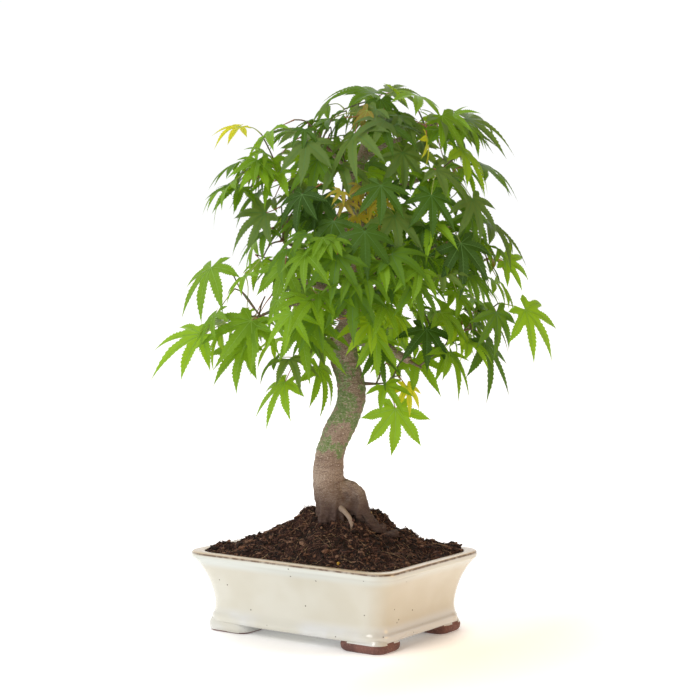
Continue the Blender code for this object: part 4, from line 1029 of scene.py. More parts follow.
    def grow_pairs(self, in_space, first=0.0, sizes=PAIR_SIZE, stalks=PAIR_STALK):
        """Pairs of leaves at the joints of every shoot, from its tip inward."""
        for number, shoot in enumerate(list(self.shoots)):
            lengths = [0.0]
            for before, after in zip(shoot[::-1], shoot[-2::-1]):
                lengths.append(lengths[-1] + (after - before).length)
            place = first
            joint = 0
            self.spray = number
            while place < lengths[-1] - NODE_END:
                i = max(k for k in range(len(lengths)) if lengths[k] <= place)
                back = shoot[::-1]
                share = (place - lengths[i]) / (lengths[i + 1] - lengths[i])
                point = back[i].lerp(back[i + 1], share)
                direction = (back[i] - back[i + 1]).normalized()
                for sign in (1, -1):
                    self.grow_leaf(point, direction, sign, joint, in_space, sizes, stalks)
                place += NODE_STEP
                joint += 1

    def grow_leaf(self, point, direction, sign, joint, in_space, sizes, stalks):
        """One leaf of a pair, on its own stalk, where there is room for it."""
        aside = direction.cross(UP)
        if aside.length < NEAR_UPRIGHT:
            aside = plan_direction(0)
        aside.normalize()
        over = aside.cross(direction).normalized()
        for attempt in range(PAIR_TRIES):
            sweep = self.draw.uniform(*PAIR_SWEEP)
            rise = self.draw.uniform(*PAIR_RISE[joint % 2])
            length = STALK_LENGTH * self.draw.uniform(*stalks)
            size = self.draw.uniform(*sizes)
            ranges = FINE_TURNS if self.finer else (PAIR_SPIN, PAIR_DROOP, PAIR_ROLL)
            spin, droop, roll = (self.draw.uniform(*each) for each in ranges)
            reach = (direction * PAIR_AHEAD + aside * (sign * sweep) + over * rise).normalized() * length
            heart = point + reach
            heading = turned(off_trunk(heart) * PAIR_OUTWARD + reach.normalized(), spin)
            heading.z = 0
            heading.normalize()
            along, upper = hanging(heading, droop)
            upper = rolled(along, upper, roll)
            if not in_space(self, heart, along, upper, size):
                continue
            base = heart - along * (STALK_END * LEAF_REACH * size)
            stalk = [point, base - along * STALK_BEND * size, base]
            if self.stand_leaf(stalk, [STALK_RADIUS] * 3, heart, along, upper, size, FIVE_LOBES):
                return


def turned(direction, angle):
    """A level direction turned about the upright."""
    turn = math.radians(angle)
    x = direction.x * math.cos(turn) - direction.y * math.sin(turn)
    y = direction.x * math.sin(turn) + direction.y * math.cos(turn)
    return Vector((x, y, direction.z))


TRUNK_PATH = smooth_path(TRUNK, 4)


def trunk_at(height):
    """Trunk's centre and radius, in millimetres, at a height."""
    for low, high in zip(TRUNK_PATH, TRUNK_PATH[1:]):
        if low[2] <= height <= high[2]:
            share = (height - low[2]) / (high[2] - low[2])
            return [a + (b - a) * share for a, b in zip(low, high)]
    return TRUNK_PATH[0] if height < TRUNK_PATH[0][2] else TRUNK_PATH[-1]


def trunk_axis(height):
    """Point of the trunk's centre line at a height in metres."""
    row = trunk_at(height / MM)
    return Vector((*world(row[0], row[1], 0)[:2], height))


def off_trunk(point):
    """Level direction out to a point from the trunk's centre line."""
    outward = point - trunk_axis(point.z)
    outward.z = 0
    return outward.normalized()


def mound_height(share, x, y):
    """Height of the soil at a share of the way from the mound's top to the pot's wall."""
    rise = 1 - share ** MOUND_SLOPE
    lumps = math.sin(x * LUMP_ACROSS[0] + LUMP_ACROSS[1]) * math.cos(y * LUMP_ALONG[0] + LUMP_ALONG[1])
    lumps += ASLANT_WEAKER * math.sin(x * LUMP_ASLANT[0] - y * LUMP_ASLANT[1])
    return SOIL_EDGE + (MOUND_TOP - SOIL_EDGE) * rise + lumps * SOIL_LUMP * (1 - share) ** LUMP_FADES


def bough_path(start_height, points, first_radius, last_radius):
    """Rows of a bough from the trunk's centre line to its tip."""
    centre = trunk_at(start_height)[:3]
    rows = [centre, *points]
    lengths = [0.0]
    for before, after in zip(rows, rows[1:]):
        lengths.append(lengths[-1] + math.dist(before, after))
    taper = [first_radius + (last_radius - first_radius) * length / lengths[-1] for length in lengths]
    return smooth_path([(*row, radius) for row, radius in zip(rows, taper)], 2)


def in_views(point, views):
    """Whether a point stands in one of these parts of the front view."""
    across = point.x * math.cos(FACING) + point.y * math.sin(FACING)
    return any(left < across / MM < right and low < point.z / MM < high for left, right, low, high in views)


def toward_viewer(point):
    """How far a point stands from the pot's middle toward the viewer."""
    return point.x * math.sin(FACING) - point.y * math.cos(FACING)


def stand_wood(crown):
    """Stand the trunk and the boughs in the crown, and return where each ends and its direction."""
    limbs = {"trunk": smooth_path(TRUNK, 2)}
    for name, row in BOUGHS.items():
        limbs[name] = bough_path(*row)
    ends = {}
    for name, rows in limbs.items():
        points = [world(*row[:3]) for row in rows]
        crown.stand(limb_solid(points, [row[3] * MM + AIR for row in rows], GUARD_SIDES))
        ends[name] = (points[-1], (points[-1] - points[-2]).normalized())
    return ends


def stemmed_masses():
    """All masses with their stems, which start at the end of the wood or at the trunk's side."""
    crown = Crown()
    ends = stand_wood(crown)
    masses = []
    for seed, (name, row) in enumerate(MASSES.items()):
        mass = Mass(name, crown, SEED + seed)
        if isinstance(row["start"], str):
            point, direction = ends[row["start"]]
            off = CLEAR
        else:
            height, angle = row["start"]
            point, direction = trunk_axis(height * MM), plan_direction(angle)
            off = trunk_at(height)[3] * MM + CLEAR
        mass.grow_stem(point + direction * off, direction)
        masses.append(mass)
    return masses


def leaf_reaches(masses):
    """The hearts and points of the masses' leaves, to find the nearest one by."""
    rims = [point for mass in masses for leaf in mass.leaves
            for point in [leaf.heart, *blade_rim(*leaf[2:6], SEVEN_LOBES if leaf.seven else FIVE_LOBES)]]
    reaches = KDTree(len(rims))
    for number, point in enumerate(rims):
        reaches.insert(point, number)
    reaches.balance()
    return reaches


def grow_masses():
    """All masses, by the same rule and in the same order as the solids, then with finer pairs."""
    masses = stemmed_masses()
    for mass in masses:
        mass.grow_tips(MASSES[mass.name]["tips"])
    for mass in masses:
        mass.grow_fan(*MASSES[mass.name]["fan"])

    def in_space(mass, heart, along, upper, size):
        """A leaf stays nearer its own mass's tips than any other's, and within their reach."""
        own = min((tip - heart).length for tip in mass.tips)
        others = [(tip - heart).length for other in masses if other is not mass for tip in other.tips]
        spread = max((tip - trunk_axis(tip.z)).length for tip in mass.tips)
        within = heart.z < max(tip.z for tip in mass.tips) and (heart - trunk_axis(heart.z)).length < spread
        return within and own < min(others) * SPACE_SHARE

    for mass in masses:
        mass.grow_pairs(in_space)
    reaches = leaf_reaches(masses)

    def among_leaves(mass, heart, along, upper, size):
        """A finer leaf's points all lie close to leaves that give the crown its outline."""
        if not in_space(mass, heart, along, upper, size):
            return False
        rim = blade_rim(heart, along, upper, size, FIVE_LOBES)
        return all(reaches.find(point)[2] < FINE_REACH and not in_views(point, OPEN_VIEWS) for point in rim)

    for mass in masses:
        mass.finer = True
    for pairs in FINE_PAIRS:
        for mass in masses:
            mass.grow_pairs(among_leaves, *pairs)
    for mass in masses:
        mass.grow_tips(FINE_TIPS.get(mass.name, ()))
    return masses


Pattern = namedtuple("Pattern", "lobe_of along aside lift faces kinds")


def lobe_edge(lobes, lobe, side, wider, draw):
    """A toothed edge of a lobe, from the notch beside it nearly to its point.

    Each of its points comes as a place along the lobe and one off its midrib.
    """
    angle, reach = lobes[lobe]
    neighbour = lobe + side
    if 0 <= neighbour < len(lobes):
        half = math.radians(abs(lobes[neighbour][0] - angle)) / 2
        notch = BASAL_SINUS if min(reach, lobes[neighbour][1]) < BASAL_REACH else SINUS
    else:
        half, notch = math.radians(OPEN_SIDE), BASAL_SINUS
    start, off = notch * math.cos(half), notch * math.sin(half)
    edge = [(start, off)]
    teeth = TEETH if reach > BASAL_REACH else TEETH // 2
    for tooth in range(teeth):
        for share, width in ((TOOTH_POINT, TOOTH_OUT), (1.0, TOOTH_IN)):
            way = (tooth + share) / teeth
            if way < 1:
                width += draw.uniform(-TOOTH_UNEVEN, TOOTH_UNEVEN)
                wide = np.interp(way, LOBE_WAY, LOBE_WIDTH) * (LOBE_KEEPS + (1 - LOBE_KEEPS) * reach)
                off_notch = way ** LOBE_CURVE
                wide = wide * width * wider * off_notch + off * (1 - off_notch)
                edge.append((start + (reach - start) * way, wide))
    return edge


def leaf_pattern(lobes, draw):
    """A flat leaf: for each point its lobe, its place along the lobe and off its midrib.

    Each lobe is a midrib between two toothed edges, which meet the next lobes' edges in the
    notches. Veins are thin strips on both faces. Faces come with the mark of their kind.
    """
    lobe_of, along, aside, lift, faces, kinds = [], [], [], [], [], []

    def point(lobe, u, v, height=0.0):
        """Add a point and return its number."""
        lobe_of.append(lobe)
        along.append(u)
        aside.append(v)
        lift.append(height)
        return len(lobe_of) - 1

    def face(kind, corners, order):
        """Add a face of the blade or of a vein, with its corners in order or, for -1, reversed."""
        faces.append(tuple(corners[::order]))
        kinds.append(kind)

    wider = draw.uniform(*LOBE_WIDER)
    for lobe, (angle, reach) in enumerate(lobes):
        heart = point(lobe, 0.0, 0.0)
        tip = point(lobe, reach, 0.0)
        for side in (-1, 1):
            edge = lobe_edge(lobes, lobe, side, wider, draw)
            rib = [point(lobe, max(u - VEIN_SLANT * v, VEIN_FIRST * u), 0.0) for u, v in edge]
            rim = [point(lobe, u, side * v) for u, v in edge]
            rib.append(tip)
            face("blade", [heart, rib[0], rim[0]], side)
            for i in range(len(edge) - 1):
                face("blade", [rib[i], rib[i + 1], rim[i + 1], rim[i]], side)
            face("blade", [rib[-2], tip, rim[-1]], side)
            for i in range(1, len(edge) - 2, 2):
                (u, v), root = edge[i], along[rib[i]]
                u += (root - u) * (1 - VEIN_OUT)
                ends = ((root - VEIN_WIDE / 3, 0.0), (root + VEIN_WIDE / 3, 0.0), (u, side * v * VEIN_OUT))
                face("vein", [point(lobe, *end, VEIN_LIFT) for end in ends], side)
        for height, order in ((MIDRIB_LIFT, 1), (-MIDRIB_LIFT, -1)):
            rows = []
            for step in range(VEIN_STEPS + 1):
                share = step / VEIN_STEPS
                wide = VEIN_WIDE * (1 - share) * (1 + reach) / 2 + VEIN_THIN
                u = reach * MIDRIB_REACH * share
                rows.append((point(lobe, u, -wide, height), point(lobe, u, wide, height)))
            for (a, b), (c, d) in zip(rows, rows[1:]):
                face("vein", (a, b, d, c), order)
    return Pattern(*(np.array(each) for each in (lobe_of, along, aside, lift)), faces, kinds)


def leaf_points(leaf, pattern, lobes, draw):
    """A leaf's points: it folds up along its midribs, and its lobes curl down and a little aside."""
    lobe_of, along, aside, lift = pattern[:4]
    angles = np.radians([angle for angle, reach in lobes])[lobe_of]
    longer, curl, hang, weight = (np.array([draw.uniform(*span) for lobe in lobes])[lobe_of]
                                  for span in (LOBE_LONGER, LOBE_CURL, LOBE_HANG, LOBE_WEIGHT))
    wider = draw.uniform(*BLADE_WIDER)
    fold = draw.uniform(*BLADE_FOLD)
    droop = LEAF_DROOP + draw.uniform(*BLADE_DROOP)
    past = np.maximum(along - SINUS, 0.0)
    u = along + past * longer
    v = aside * (1 + (wider - 1) * np.minimum(past / WIDENS_OVER, 1.0)) + curl * past ** 2
    x = u * np.cos(angles) - v * np.sin(angles)
    y = u * np.sin(angles) + v * np.cos(angles)
    z = lift - droop * (x * x + y * y) - hang * past ** 2 + fold * np.abs(aside)
    size = LEAF_REACH * leaf.size
    frame_of = np.array([leaf.along, leaf.along.cross(leaf.upper), leaf.upper])
    points = np.array(leaf.heart) + size * np.stack([x, y, z], axis=1) @ frame_of
    lobe_rise = np.cos(angles) * leaf.along.z + np.sin(angles) * frame_of[1][2]
    points[:, 2] -= size * weight * past ** 2 * (1 - np.abs(lobe_rise))
    return points


def posed(leaf, heading, droop, roll, size):
    """A leaf turned as the photograph shows it."""
    along, upper = hanging(plan_direction(heading), droop)
    return leaf._replace(along=along, upper=rolled(along, upper, roll), size=size)


def settled(leaf, named, draw):
    """A leaf as it hangs in the finished crown: less steeply, unless it shapes the outline."""
    ease = draw.uniform(*HANG_EASED)
    level = Vector((leaf.along.x, leaf.along.y, 0.0))
    if named or level.length < STRAIGHT_DOWN or leaf.along.z > 0:
        return leaf
    droop = math.atan2(-leaf.along.z, level.length) * ease
    along = level.normalized() * math.cos(droop) - UP * math.sin(droop)
    upper = leaf.along.rotation_difference(along) @ leaf.upper
    spin = math.radians(draw.uniform(*HANG_SPIN))
    along = (along * math.cos(spin) + upper.cross(along) * math.sin(spin)).normalized()
    return leaf._replace(along=along, upper=upper)


def mesh_piece(name, points, faces, finishes, marks=None, smooth=True):
    """A mesh from points laid out round the pot's middle, with a finish for each mark."""
    mesh = bpy.data.meshes.new(name)
    moved = np.asarray(points, dtype=float) + np.array(POT_MIDDLE)
    mesh.from_pydata(moved.tolist(), [], faces)
    for finish in finishes:
        mesh.materials.append(finish.material)
    if marks is not None:
        mesh.polygons.foreach_set("material_index", marks)
    mesh.polygons.foreach_set("use_smooth", [smooth] * len(mesh.polygons))
    mesh.update()
    piece = bpy.data.objects.new(name, mesh)
    bpy.context.scene.collection.objects.link(piece)
    return piece


class Heap:
    """Points and faces of many small things that are joined in one piece."""

    def __init__(self):
        self.points = []
        self.faces = []
        self.marks = []

    def add(self, points, faces, marks):
        """Add a thing, with one finish's number for all its faces or one for each."""
        first = len(self.points)
        self.points.extend(tuple(point) for point in points)
        self.faces.extend(tuple(first + corner for corner in face) for face in faces)
        self.marks.extend([marks] * len(faces) if isinstance(marks, int) else marks)

    def piece(self, name, finishes, slot, replaced=(), smooth=True):
        """The finished piece of all that was added."""
        made = mesh_piece(name, self.points, self.faces, finishes, self.marks, smooth)
        return fitted(made, slot, *replaced)


def fitted(piece, slot, *replaced):
    """A finished piece rides on the plant and stands for its solids, which it hides; its slot is not used."""
    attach(piece, BODY)
    if replaced:
        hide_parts(*replaced)
    return piece


def tube(path, radii, sides, steps):
    """A smooth tapering tube through a few points."""
    rows = smooth_path([(*point, radius) for point, radius in zip(path, radii)], steps)
    return limb_solid([Vector(row[:3]) for row in rows], [row[3] for row in rows], sides)


def in_place(mass_name, number, leaf):
    """A leaf turned and shifted as the photograph shows it, and its green if that is set too."""
    pose, green = TIP_LOOKS.get(mass_name, {}).get(number, (None, None))
    if pose:
        leaf = posed(leaf, *pose)
    shift = SHIFTED.get(mass_name, {}).get(number, (0, 0, 0))
    return leaf._replace(heart=leaf.heart + world(*shift)), green


def coloured(leaf, named, green, spray_tint, draw):
    """A leaf and its tint: its spray's green, now and then one step off, or a young leaf's."""
    tint = min(max(spray_tint + draw.choice(TINT_STEPS), 0), BRIGHTEST)
    if leaf.size < YOUNG_SIZE and (named or draw.random() < YOUNG_SHARE):
        tint = len(LEAF_TINTS) - 1 - draw.randrange(YOUNG_TINTS)
    if green is not None:
        tint = green
    elif in_views(leaf.heart, [YOUNG_VIEW]) and toward_viewer(leaf.heart) > YOUNG_TOWARD and not named:
        tint = len(LEAF_TINTS) - 1 - draw.randrange(YOUNG_TINTS)
        leaf = leaf._replace(size=leaf.size * YOUNG_SMALLER)
    return leaf, tint


def add_twigs(twigs, leaf, draw):
    """The stalk of a leaf, and the shoot that bears it if it stands at a shoot's end."""
    reddish = draw.random() < RED_STALKS
    joint = leaf.twig[0]
    if len(leaf.twig) > PAIR_TWIG:
        shoot = leaf.twig[:3]
        joint = shoot[-1]
        radii = [SHOOT_LOOK, (SHOOT_LOOK + STALK_LOOK) / 2, SHOOT_END * STALK_LOOK]
        twigs.add(*tube(shoot, radii, *SHOOT_MESH), 0)
    end = leaf.heart - leaf.upper * (0.5 * STALK_LOOK)
    sag = (end - joint).length * draw.uniform(*STALK_SAG)
    stalk = [joint, joint.lerp(end, 0.5) + UP * sag - leaf.along * sag, end]
    radii = [STALK_START * STALK_LOOK, STALK_LOOK, STALK_LOOK]
    twigs.add(*tube(stalk, radii, *STALK_MESH), 2 if reddish else 1)


def dress_masses(masses, blades, veins, twig_finishes):
    """For each mass, its joined leaves and its joined twigs, in place of its solid."""
    shapes = random.Random("leaf shapes")
    patterns = {seven: [leaf_pattern(SEVEN if seven else FIVE, shapes) for kind in range(LEAF_SHAPES)]
                for seven in (True, False)}
    for mass in masses:
        draw = random.Random(mass.name)
        leaves, twigs = Heap(), Heap()
        start, fork = mass.stem
        sunk = start - (fork - start).normalized() * STEM_SUNK
        twigs.add(*tube([sunk, start, fork], [STEM_LOOK, STEM_LOOK, SHOOT_LOOK], *STEM_MESH), 0)
        spray_tints = {}
        for number, leaf in enumerate(mass.leaves):
            if number in LEFT_OFF.get(mass.name, ()):
                continue
            if leaf.spray not in spray_tints:
                spray_tints[leaf.spray] = draw.choice(spray_choice(leaf))
            named = len(leaf.twig) > PAIR_TWIG and leaf.spray < len(MASSES[mass.name]["tips"])
            leaf, green = in_place(mass.name, number, settled(leaf, named, draw))
            pattern = draw.choice(patterns[leaf.seven])
            leaf, tint = coloured(leaf, named, green, spray_tints[leaf.spray], draw)
            vein = len(LEAF_TINTS) + (0 if tint < DARK_TINTS else 1)
            marks = [tint if kind == "blade" else vein for kind in pattern.kinds]
            leaves.add(leaf_points(leaf, pattern, SEVEN if leaf.seven else FIVE, draw), pattern.faces, marks)
            add_twigs(twigs, leaf, draw)
        where = mass.name.replace("leaves_", "")
        leaves.piece("leafage_" + where, blades + veins, "leaf", [mass.name])
        twigs.piece("twigs_" + where, twig_finishes, "leaf", [mass.name])


def spray_choice(leaf):
    """Greens that a spray may take: greyer on top, brighter low down and outside, darker inside as painted
    shade.
    """
    off = (leaf.heart - trunk_axis(leaf.heart.z)).length
    if leaf.heart.z > TOP_SPRAYS:
        return TOP_CHOICE
    if leaf.heart.z < LOW_SPRAYS and off > INNER_SPRAYS:
        return LOW_CHOICE
    return OUTER_CHOICE if off > OUTER_SPRAYS else INNER_SHADE_CHOICE


class Part:
    """A value, colour or vector of a finish. Sums on values add the nodes that work them out."""

    def __init__(self, finish, socket):
        self.finish = finish
        self.socket = socket

    def maths(self, operation, *others):
        """A sum that takes this value first."""
        return self.finish.node("Math", {"operation": operation}, dict(enumerate((self, *others))))

    def __add__(self, other):
        return self.maths("ADD", other)

    def __sub__(self, other):
        return self.maths("SUBTRACT", other)

    def __rsub__(self, other):
        return self.finish.node("Math", {"operation": "SUBTRACT"}, {0: other, 1: self})

    def __mul__(self, other):
        return self.maths("MULTIPLY", other)

    __radd__ = __add__
    __rmul__ = __mul__

    def between(self, low, high):
        """0 under low, 1 over high and smooth between them."""
        sockets = {"Value": self, "From Min": low, "From Max": high}
        return self.finish.node("MapRange", {"interpolation_type": "SMOOTHSTEP"}, sockets)


class Finish:
    """One material: its shader and the nodes that feed it."""

    def __init__(self, name, colour, roughness, **sockets):
        self.material = bpy.data.materials.new(name)
        self.material.use_nodes = True
        self.tree = self.material.node_tree
        self.shader = self.tree.nodes["Principled BSDF"]
        self.show(Base_Color=colour, Roughness=roughness, **sockets)

    def show(self, **sockets):
        """Feed the shader's own sockets."""
        self.feed(self.shader, {key.replace("_", " "): value for key, value in sockets.items()})

    def feed(self, node, sockets):
        """Link or set a node's sockets."""
        for key, value in sockets.items():
            socket = node.inputs[key]
            if isinstance(value, Part):
                self.tree.links.new(value.socket, socket)
            elif socket.type == "RGBA":
                socket.default_value = (*value, 1.0)
            else:
                socket.default_value = value

    def node(self, kind, settings=(), sockets=(), output=0):
        """Any node: its settings first, then the values or links of its sockets."""
        made = self.tree.nodes.new("ShaderNode" + kind)
        for key, value in dict(settings).items():
            if key == "stops":
                ramp = made.color_ramp.elements
                while len(ramp) < len(value):
                    ramp.new(0.5)
                for element, (place, colour) in zip(ramp, value):
                    element.position = place
                    element.color = (*colour, 1.0)
            else:
                setattr(made, key, value)
        self.feed(made, dict(sockets))
        return Part(self, made.outputs[output])

    def place(self, stretch=(1.0, 1.0, 1.0)):
        """Place on the object, stretched along its axes."""
        spot = self.node("TexCoord", output="Object")
        return self.node("Mapping", {}, {"Vector": spot, "Scale": stretch})

    def height(self):
        """Height over the ground."""
        return self.node("SeparateXYZ", {}, {0: self.node("TexCoord", output="Object")}, "Z")

    def grain(self, scale, detail=3.0, roughness=0.55, stretch=(1.0, 1.0, 1.0)):
        """Noise from 0 to 1, scale patches to the metre."""
        sockets = {"Vector": self.place(stretch), "Scale": scale, "Detail": detail, "Roughness": roughness}
        return self.node("TexNoise", {}, sockets)

    def mix(self, share, first, second):
        """Colour that goes from the first to the second as the share goes from 0 to 1."""
        return self.node("Mix", {"data_type": "RGBA"}, {0: share, 6: first, 7: second}, 2)

    def ramp(self, share, stops):
        """Colour that passes through the stops as the share goes from 0 to 1."""
        return self.node("ValToRGB", {"stops": stops}, {0: share})

    def mottle(self, share, tints, **sockets):
        """Two tones of the shader's colour, and other sockets."""
        self.show(Base_Color=self.mix(share, *tints), **sockets)

    def relief(self, height, depth):
        """Small relief, depth in metres."""
        sockets = {"Height": height, "Distance": depth, "Strength": 1.0}
        self.show(Normal=self.node("Bump", {}, sockets, "Normal"))

    def glow_through(self, colour, share):
        """A thin leaf that lets some light through."""
        light = self.node("BsdfTranslucent", {}, {"Color": colour})
        both = self.node("MixShader", {}, {0: share, 1: Part(self, self.shader.outputs[0]), 2: light})
        self.feed(self.tree.nodes["Material Output"], {"Surface": both})
        return self


class Surround(Finish):
    """The light from all round, made of the same nodes as a finish."""

    def __init__(self):
        surround = bpy.data.worlds.new("surround")
        bpy.context.scene.world = surround
        surround.use_nodes = True
        self.tree = surround.node_tree
        self.shader = self.tree.nodes["Background"]

    def along(self, direction, side, span):
        """How far a direction points to a side: 0 at the span's start, 1 at its end."""
        share = self.node("VectorMath", {"operation": "DOT_PRODUCT"}, {0: direction, 1: side}, "Value")
        return self.node("MapRange", {}, {"Value": share, "From Min": span[0], "From Max": span[1]})


def leaf_green(name, colour, share, **sockets):
    """A green that lets light through, which comes out yellower."""
    shine = tuple(min(1.0, part * gain) for part, gain in zip(colour, THROUGH))
    return Finish(name, colour, 0.5, **sockets).glow_through(shine, share)


def leaf_finishes():
    """Blades in plain greens, dealt out by spray, and two paler finishes for the veins."""
    blades = [leaf_green("leaf " + name, colour, BLADE_THROUGH, Specular_IOR_Level=0.22)
              for name, colour in LEAF_TINTS]
    veins = [leaf_green("vein " + name, colour, VEIN_THROUGH) for name, colour in VEIN_TINTS]
    return blades, veins


def twig_finishes():
    """Shoots between olive and red-brown, and green and red stalks."""
    shoot = Finish("young shoot", (0.14, 0.12, 0.05), 0.55)
    shoot.mottle(shoot.grain(260.0).between(0.4, 0.62), TWIG_TINTS)
    green = Finish("green stalk", (0.30, 0.36, 0.08), 0.5)
    red = Finish("red stalk", (0.36, 0.14, 0.06), 0.5)
    return [shoot, green, red]


def bark_finish():
    """Smooth grey-pink bark, green in a network on the middle of the trunk, dark at its foot with painted
    shade and soil stain.
    """
    bark = Finish("maple bark", (0.26, 0.18, 0.14), 0.78, Specular_IOR_Level=0.3)
    z = bark.height()
    broad = bark.grain(55.0, 2.0)
    patch = bark.grain(88.0, 5.0, 0.62, (1.0, 1.0, 0.9))
    fine = bark.grain(900.0, 3.0, 0.6, (1.0, 1.0, 1.5))
    rings = bark.grain(120.0, 4.0, 0.65, (1.0, 1.0, 6.0))
    net = bark.grain(420.0, 5.0, 0.7, (1.0, 1.0, 1.6))
    skin = bark.ramp(fine * 0.6 + broad * 0.4, SKIN_TINTS)
    skin = bark.mix(rings.between(0.5, 0.62) * 0.6, skin, RING_TINT)
    upper = z.between(*MOSS_TO)
    middle = z.between(*MOSS_FROM) * (1 - upper)
    share = (patch * 0.78 + net * 0.22 + (middle - 1) * 0.5 + upper * 0.43).between(0.462, 0.482)
    moss = bark.mix(net.between(0.35, 0.65), *MOSS_TINTS)
    spot = bark.place((1.0, 1.0, 0.7))
    seams = bark.node("TexVoronoi", {"feature": "DISTANCE_TO_EDGE"}, {"Vector": spot, "Scale": 240.0})
    moss = bark.mix((1 - seams.between(0.03, 0.11)) * net.between(0.47, 0.6) * 0.8, moss, SEAM_TINT)
    colour = bark.mix(share, skin, moss)
    flecks = bark.grain(650.0, 2.0, 0.5, (1.0, 1.0, 2.2)).between(0.62, 0.67)
    colour = bark.mix(flecks * 0.75, colour, FLECK_TINT)
    # Dark foot: painted shade where the trunk meets the soil, over bark darkened by the soil.
    foot = (1 - z.between(*FOOT_TO)) * (0.68 + broad.between(0.3, 0.5) * 0.2)
    colour = bark.mix(foot, colour, FOOT_SHADE_AND_SOIL_TINT)
    damp = (1 - z.between(*DAMP_TO)) * rings.between(0.35, 0.55) * 0.6
    bark.show(Base_Color=bark.mix(damp, colour, DAMP_TINT), Roughness=0.66 + fine * 0.25)
    bark.relief(fine * 0.5 + rings * 0.9 + net * 0.6, 0.0011)
    return bark


def glaze_finish():
    """Cream glaze, blue-white where it is thick under the rim, thin and brown on the edges."""
    glaze = Finish("cream glaze", (0.62, 0.60, 0.51), 0.16, Coat_Weight=0.6, Coat_Roughness=0.06)
    spot = glaze.node("TexCoord", output="Object")
    z = glaze.height()
    broad = glaze.grain(22.0, 2.0)
    fine = glaze.grain(160.0, 3.0)
    cream = glaze.mix(broad.between(0.35, 0.65), *CREAM_TINTS)
    milk = z.between(*MILK_FROM) * (1 - z.between(*MILK_TO)) * (0.25 + broad * 0.5)
    colour = glaze.mix(milk, cream, MILK_TINT)
    # Blue-white patches low on the pot: thick glaze with painted highlights.
    foot = (1 - z.between(*THICK_GLAZE_AND_HIGHLIGHT_TO)) * broad.between(0.4, 0.6) * 0.6
    colour = glaze.mix(foot, colour, THICK_GLAZE_AND_HIGHLIGHT_TINT)
    tan = z.between(*RIM_FROM)
    colour = glaze.mix(tan * (0.65 + fine * 0.35), colour, RIM_TINT)
    line = z.between(*LINE_FROM) * (1 - z.between(*LINE_TO)) * (0.45 + fine.between(0.3, 0.6) * 0.5)
    colour = glaze.mix(line, colour, LINE_TINT)
    cells, rare = (glaze.node("TexVoronoi", {"feature": "F1"}, {"Vector": spot, "Scale": PITS_OFTEN}, output)
                   for output in ("Distance", "Color"))
    chosen = glaze.node("SeparateColor", {}, {0: rare}, "Red").between(0.62, 0.64)
    pit = (1 - cells.between(0.06, 0.10)) * chosen
    glaze.show(Base_Color=glaze.mix(pit * 0.85, colour, PIT_TINT), Roughness=0.13 + fine * 0.08 + tan * 0.25)
    glaze.relief(broad * 1.2 + fine * 0.12 - pit * 0.4, 0.0005)
    return glaze


def clay_finish():
    """Bare red clay with pale grains."""
    clay = Finish("red clay", (0.15, 0.062, 0.05), 0.72)
    tone = clay.grain(90.0, 4.0)
    speck = clay.grain(900.0, 2.0)
    colour = clay.mix(tone.between(0.35, 0.65), *CLAY_TINTS)
    clay.mottle(speck.between(0.58, 0.7) * 0.4, (colour, GRIT_TINT), Roughness=0.6 + tone * 0.25)
    clay.relief(speck * 0.6 + tone, 0.0003)
    return clay


def soil_finish():
    """Nearly black soil with brown and tan crumbs."""
    soil = Finish("potting soil", (0.035, 0.018, 0.014), 0.95, Specular_IOR_Level=0.15)
    crumb = soil.grain(420.0, 5.0, 0.7)
    broad = soil.grain(60.0, 2.0)
    soil.show(Base_Color=soil.ramp(crumb * 0.75 + broad * 0.25, SOIL_TINTS))
    soil.relief(crumb, 0.0016)
    return soil


def as_modified(thing):
    """The mesh that an object's modifiers make of it."""
    bpy.context.view_layer.update()
    seen = thing.evaluated_get(bpy.context.evaluated_depsgraph_get())
    return bpy.data.meshes.new_from_object(seen)


def joined_limbs(rows_list):
    """Closed limbs fused by a voxel remesh, so that each grows out of the next."""
    heap = Heap()
    for rows in rows_list:
        rows = smooth_path(rows, 4)
        heap.add(*limb_solid([world(*row[:3]) for row in rows], [row[3] * MM for row in rows], BARK_SIDES), 0)
    rough = solid_from("limbs", heap.points, heap.faces)
    bpy.context.scene.collection.objects.link(rough)
    remesh = rough.modifiers.new("fuse", "REMESH")
    remesh.mode = "VOXEL"
    remesh.voxel_size = BARK_VOXEL
    soften = rough.modifiers.new("soften", "SMOOTH")
    soften.iterations = BARK_SMOOTHED
    result = as_modified(rough)
    bpy.data.objects.remove(rough)
    return result


def bark_relief(point):
    """How far the bark stands out: knobs, folds across the bends and fine fibres."""
    x, y, z = point
    foot = max(0.0, 1 - (z - GROUND_CUT * MM) / FOOT_ZONE)
    kinds = ((KNOBS_OFTEN, KNOB_RELIEF), (FOLDS_OFTEN, FOLD_RELIEF), (FIBRES_OFTEN, FIBRE_RELIEF),
             (FLUTES_OFTEN, FLUTE_RELIEF * foot))
    relief = sum(noise.noise(Vector((x * around, y * around, z * along))) * depth
                 for (around, along), depth in kinds)
    crease = 0.0
    if foot and toward_viewer(point) > 0:
        place = Vector((x * math.cos(FACING) + y * math.sin(FACING), z)) / MM
        off = CREASE_HALF * 4
        for start, end in zip(CREASE, CREASE[1:]):
            way = Vector(end) - Vector(start)
            share = min(1.0, max(0.0, (place - Vector(start)).dot(way) / way.length_squared))
            off = min(off, (Vector(start) + way * share - place).length)
        crease = CREASE_DEPTH * math.exp(-(off / CREASE_HALF) ** 2)
    return relief - crease


def cut_at_ground(shape):
    """Cut the wood off level inside the mound, and close the cut."""
    level = Vector((0.0, 0.0, GROUND_CUT * MM))
    wood = [*shape.verts, *shape.edges, *shape.faces]
    cut = bmesh.ops.bisect_plane(shape, geom=wood, plane_co=level, plane_no=UP, clear_inner=True)
    rim = [each for each in cut["geom_cut"] if isinstance(each, bmesh.types.BMEdge)]
    bmesh.ops.holes_fill(shape, edges=rim)


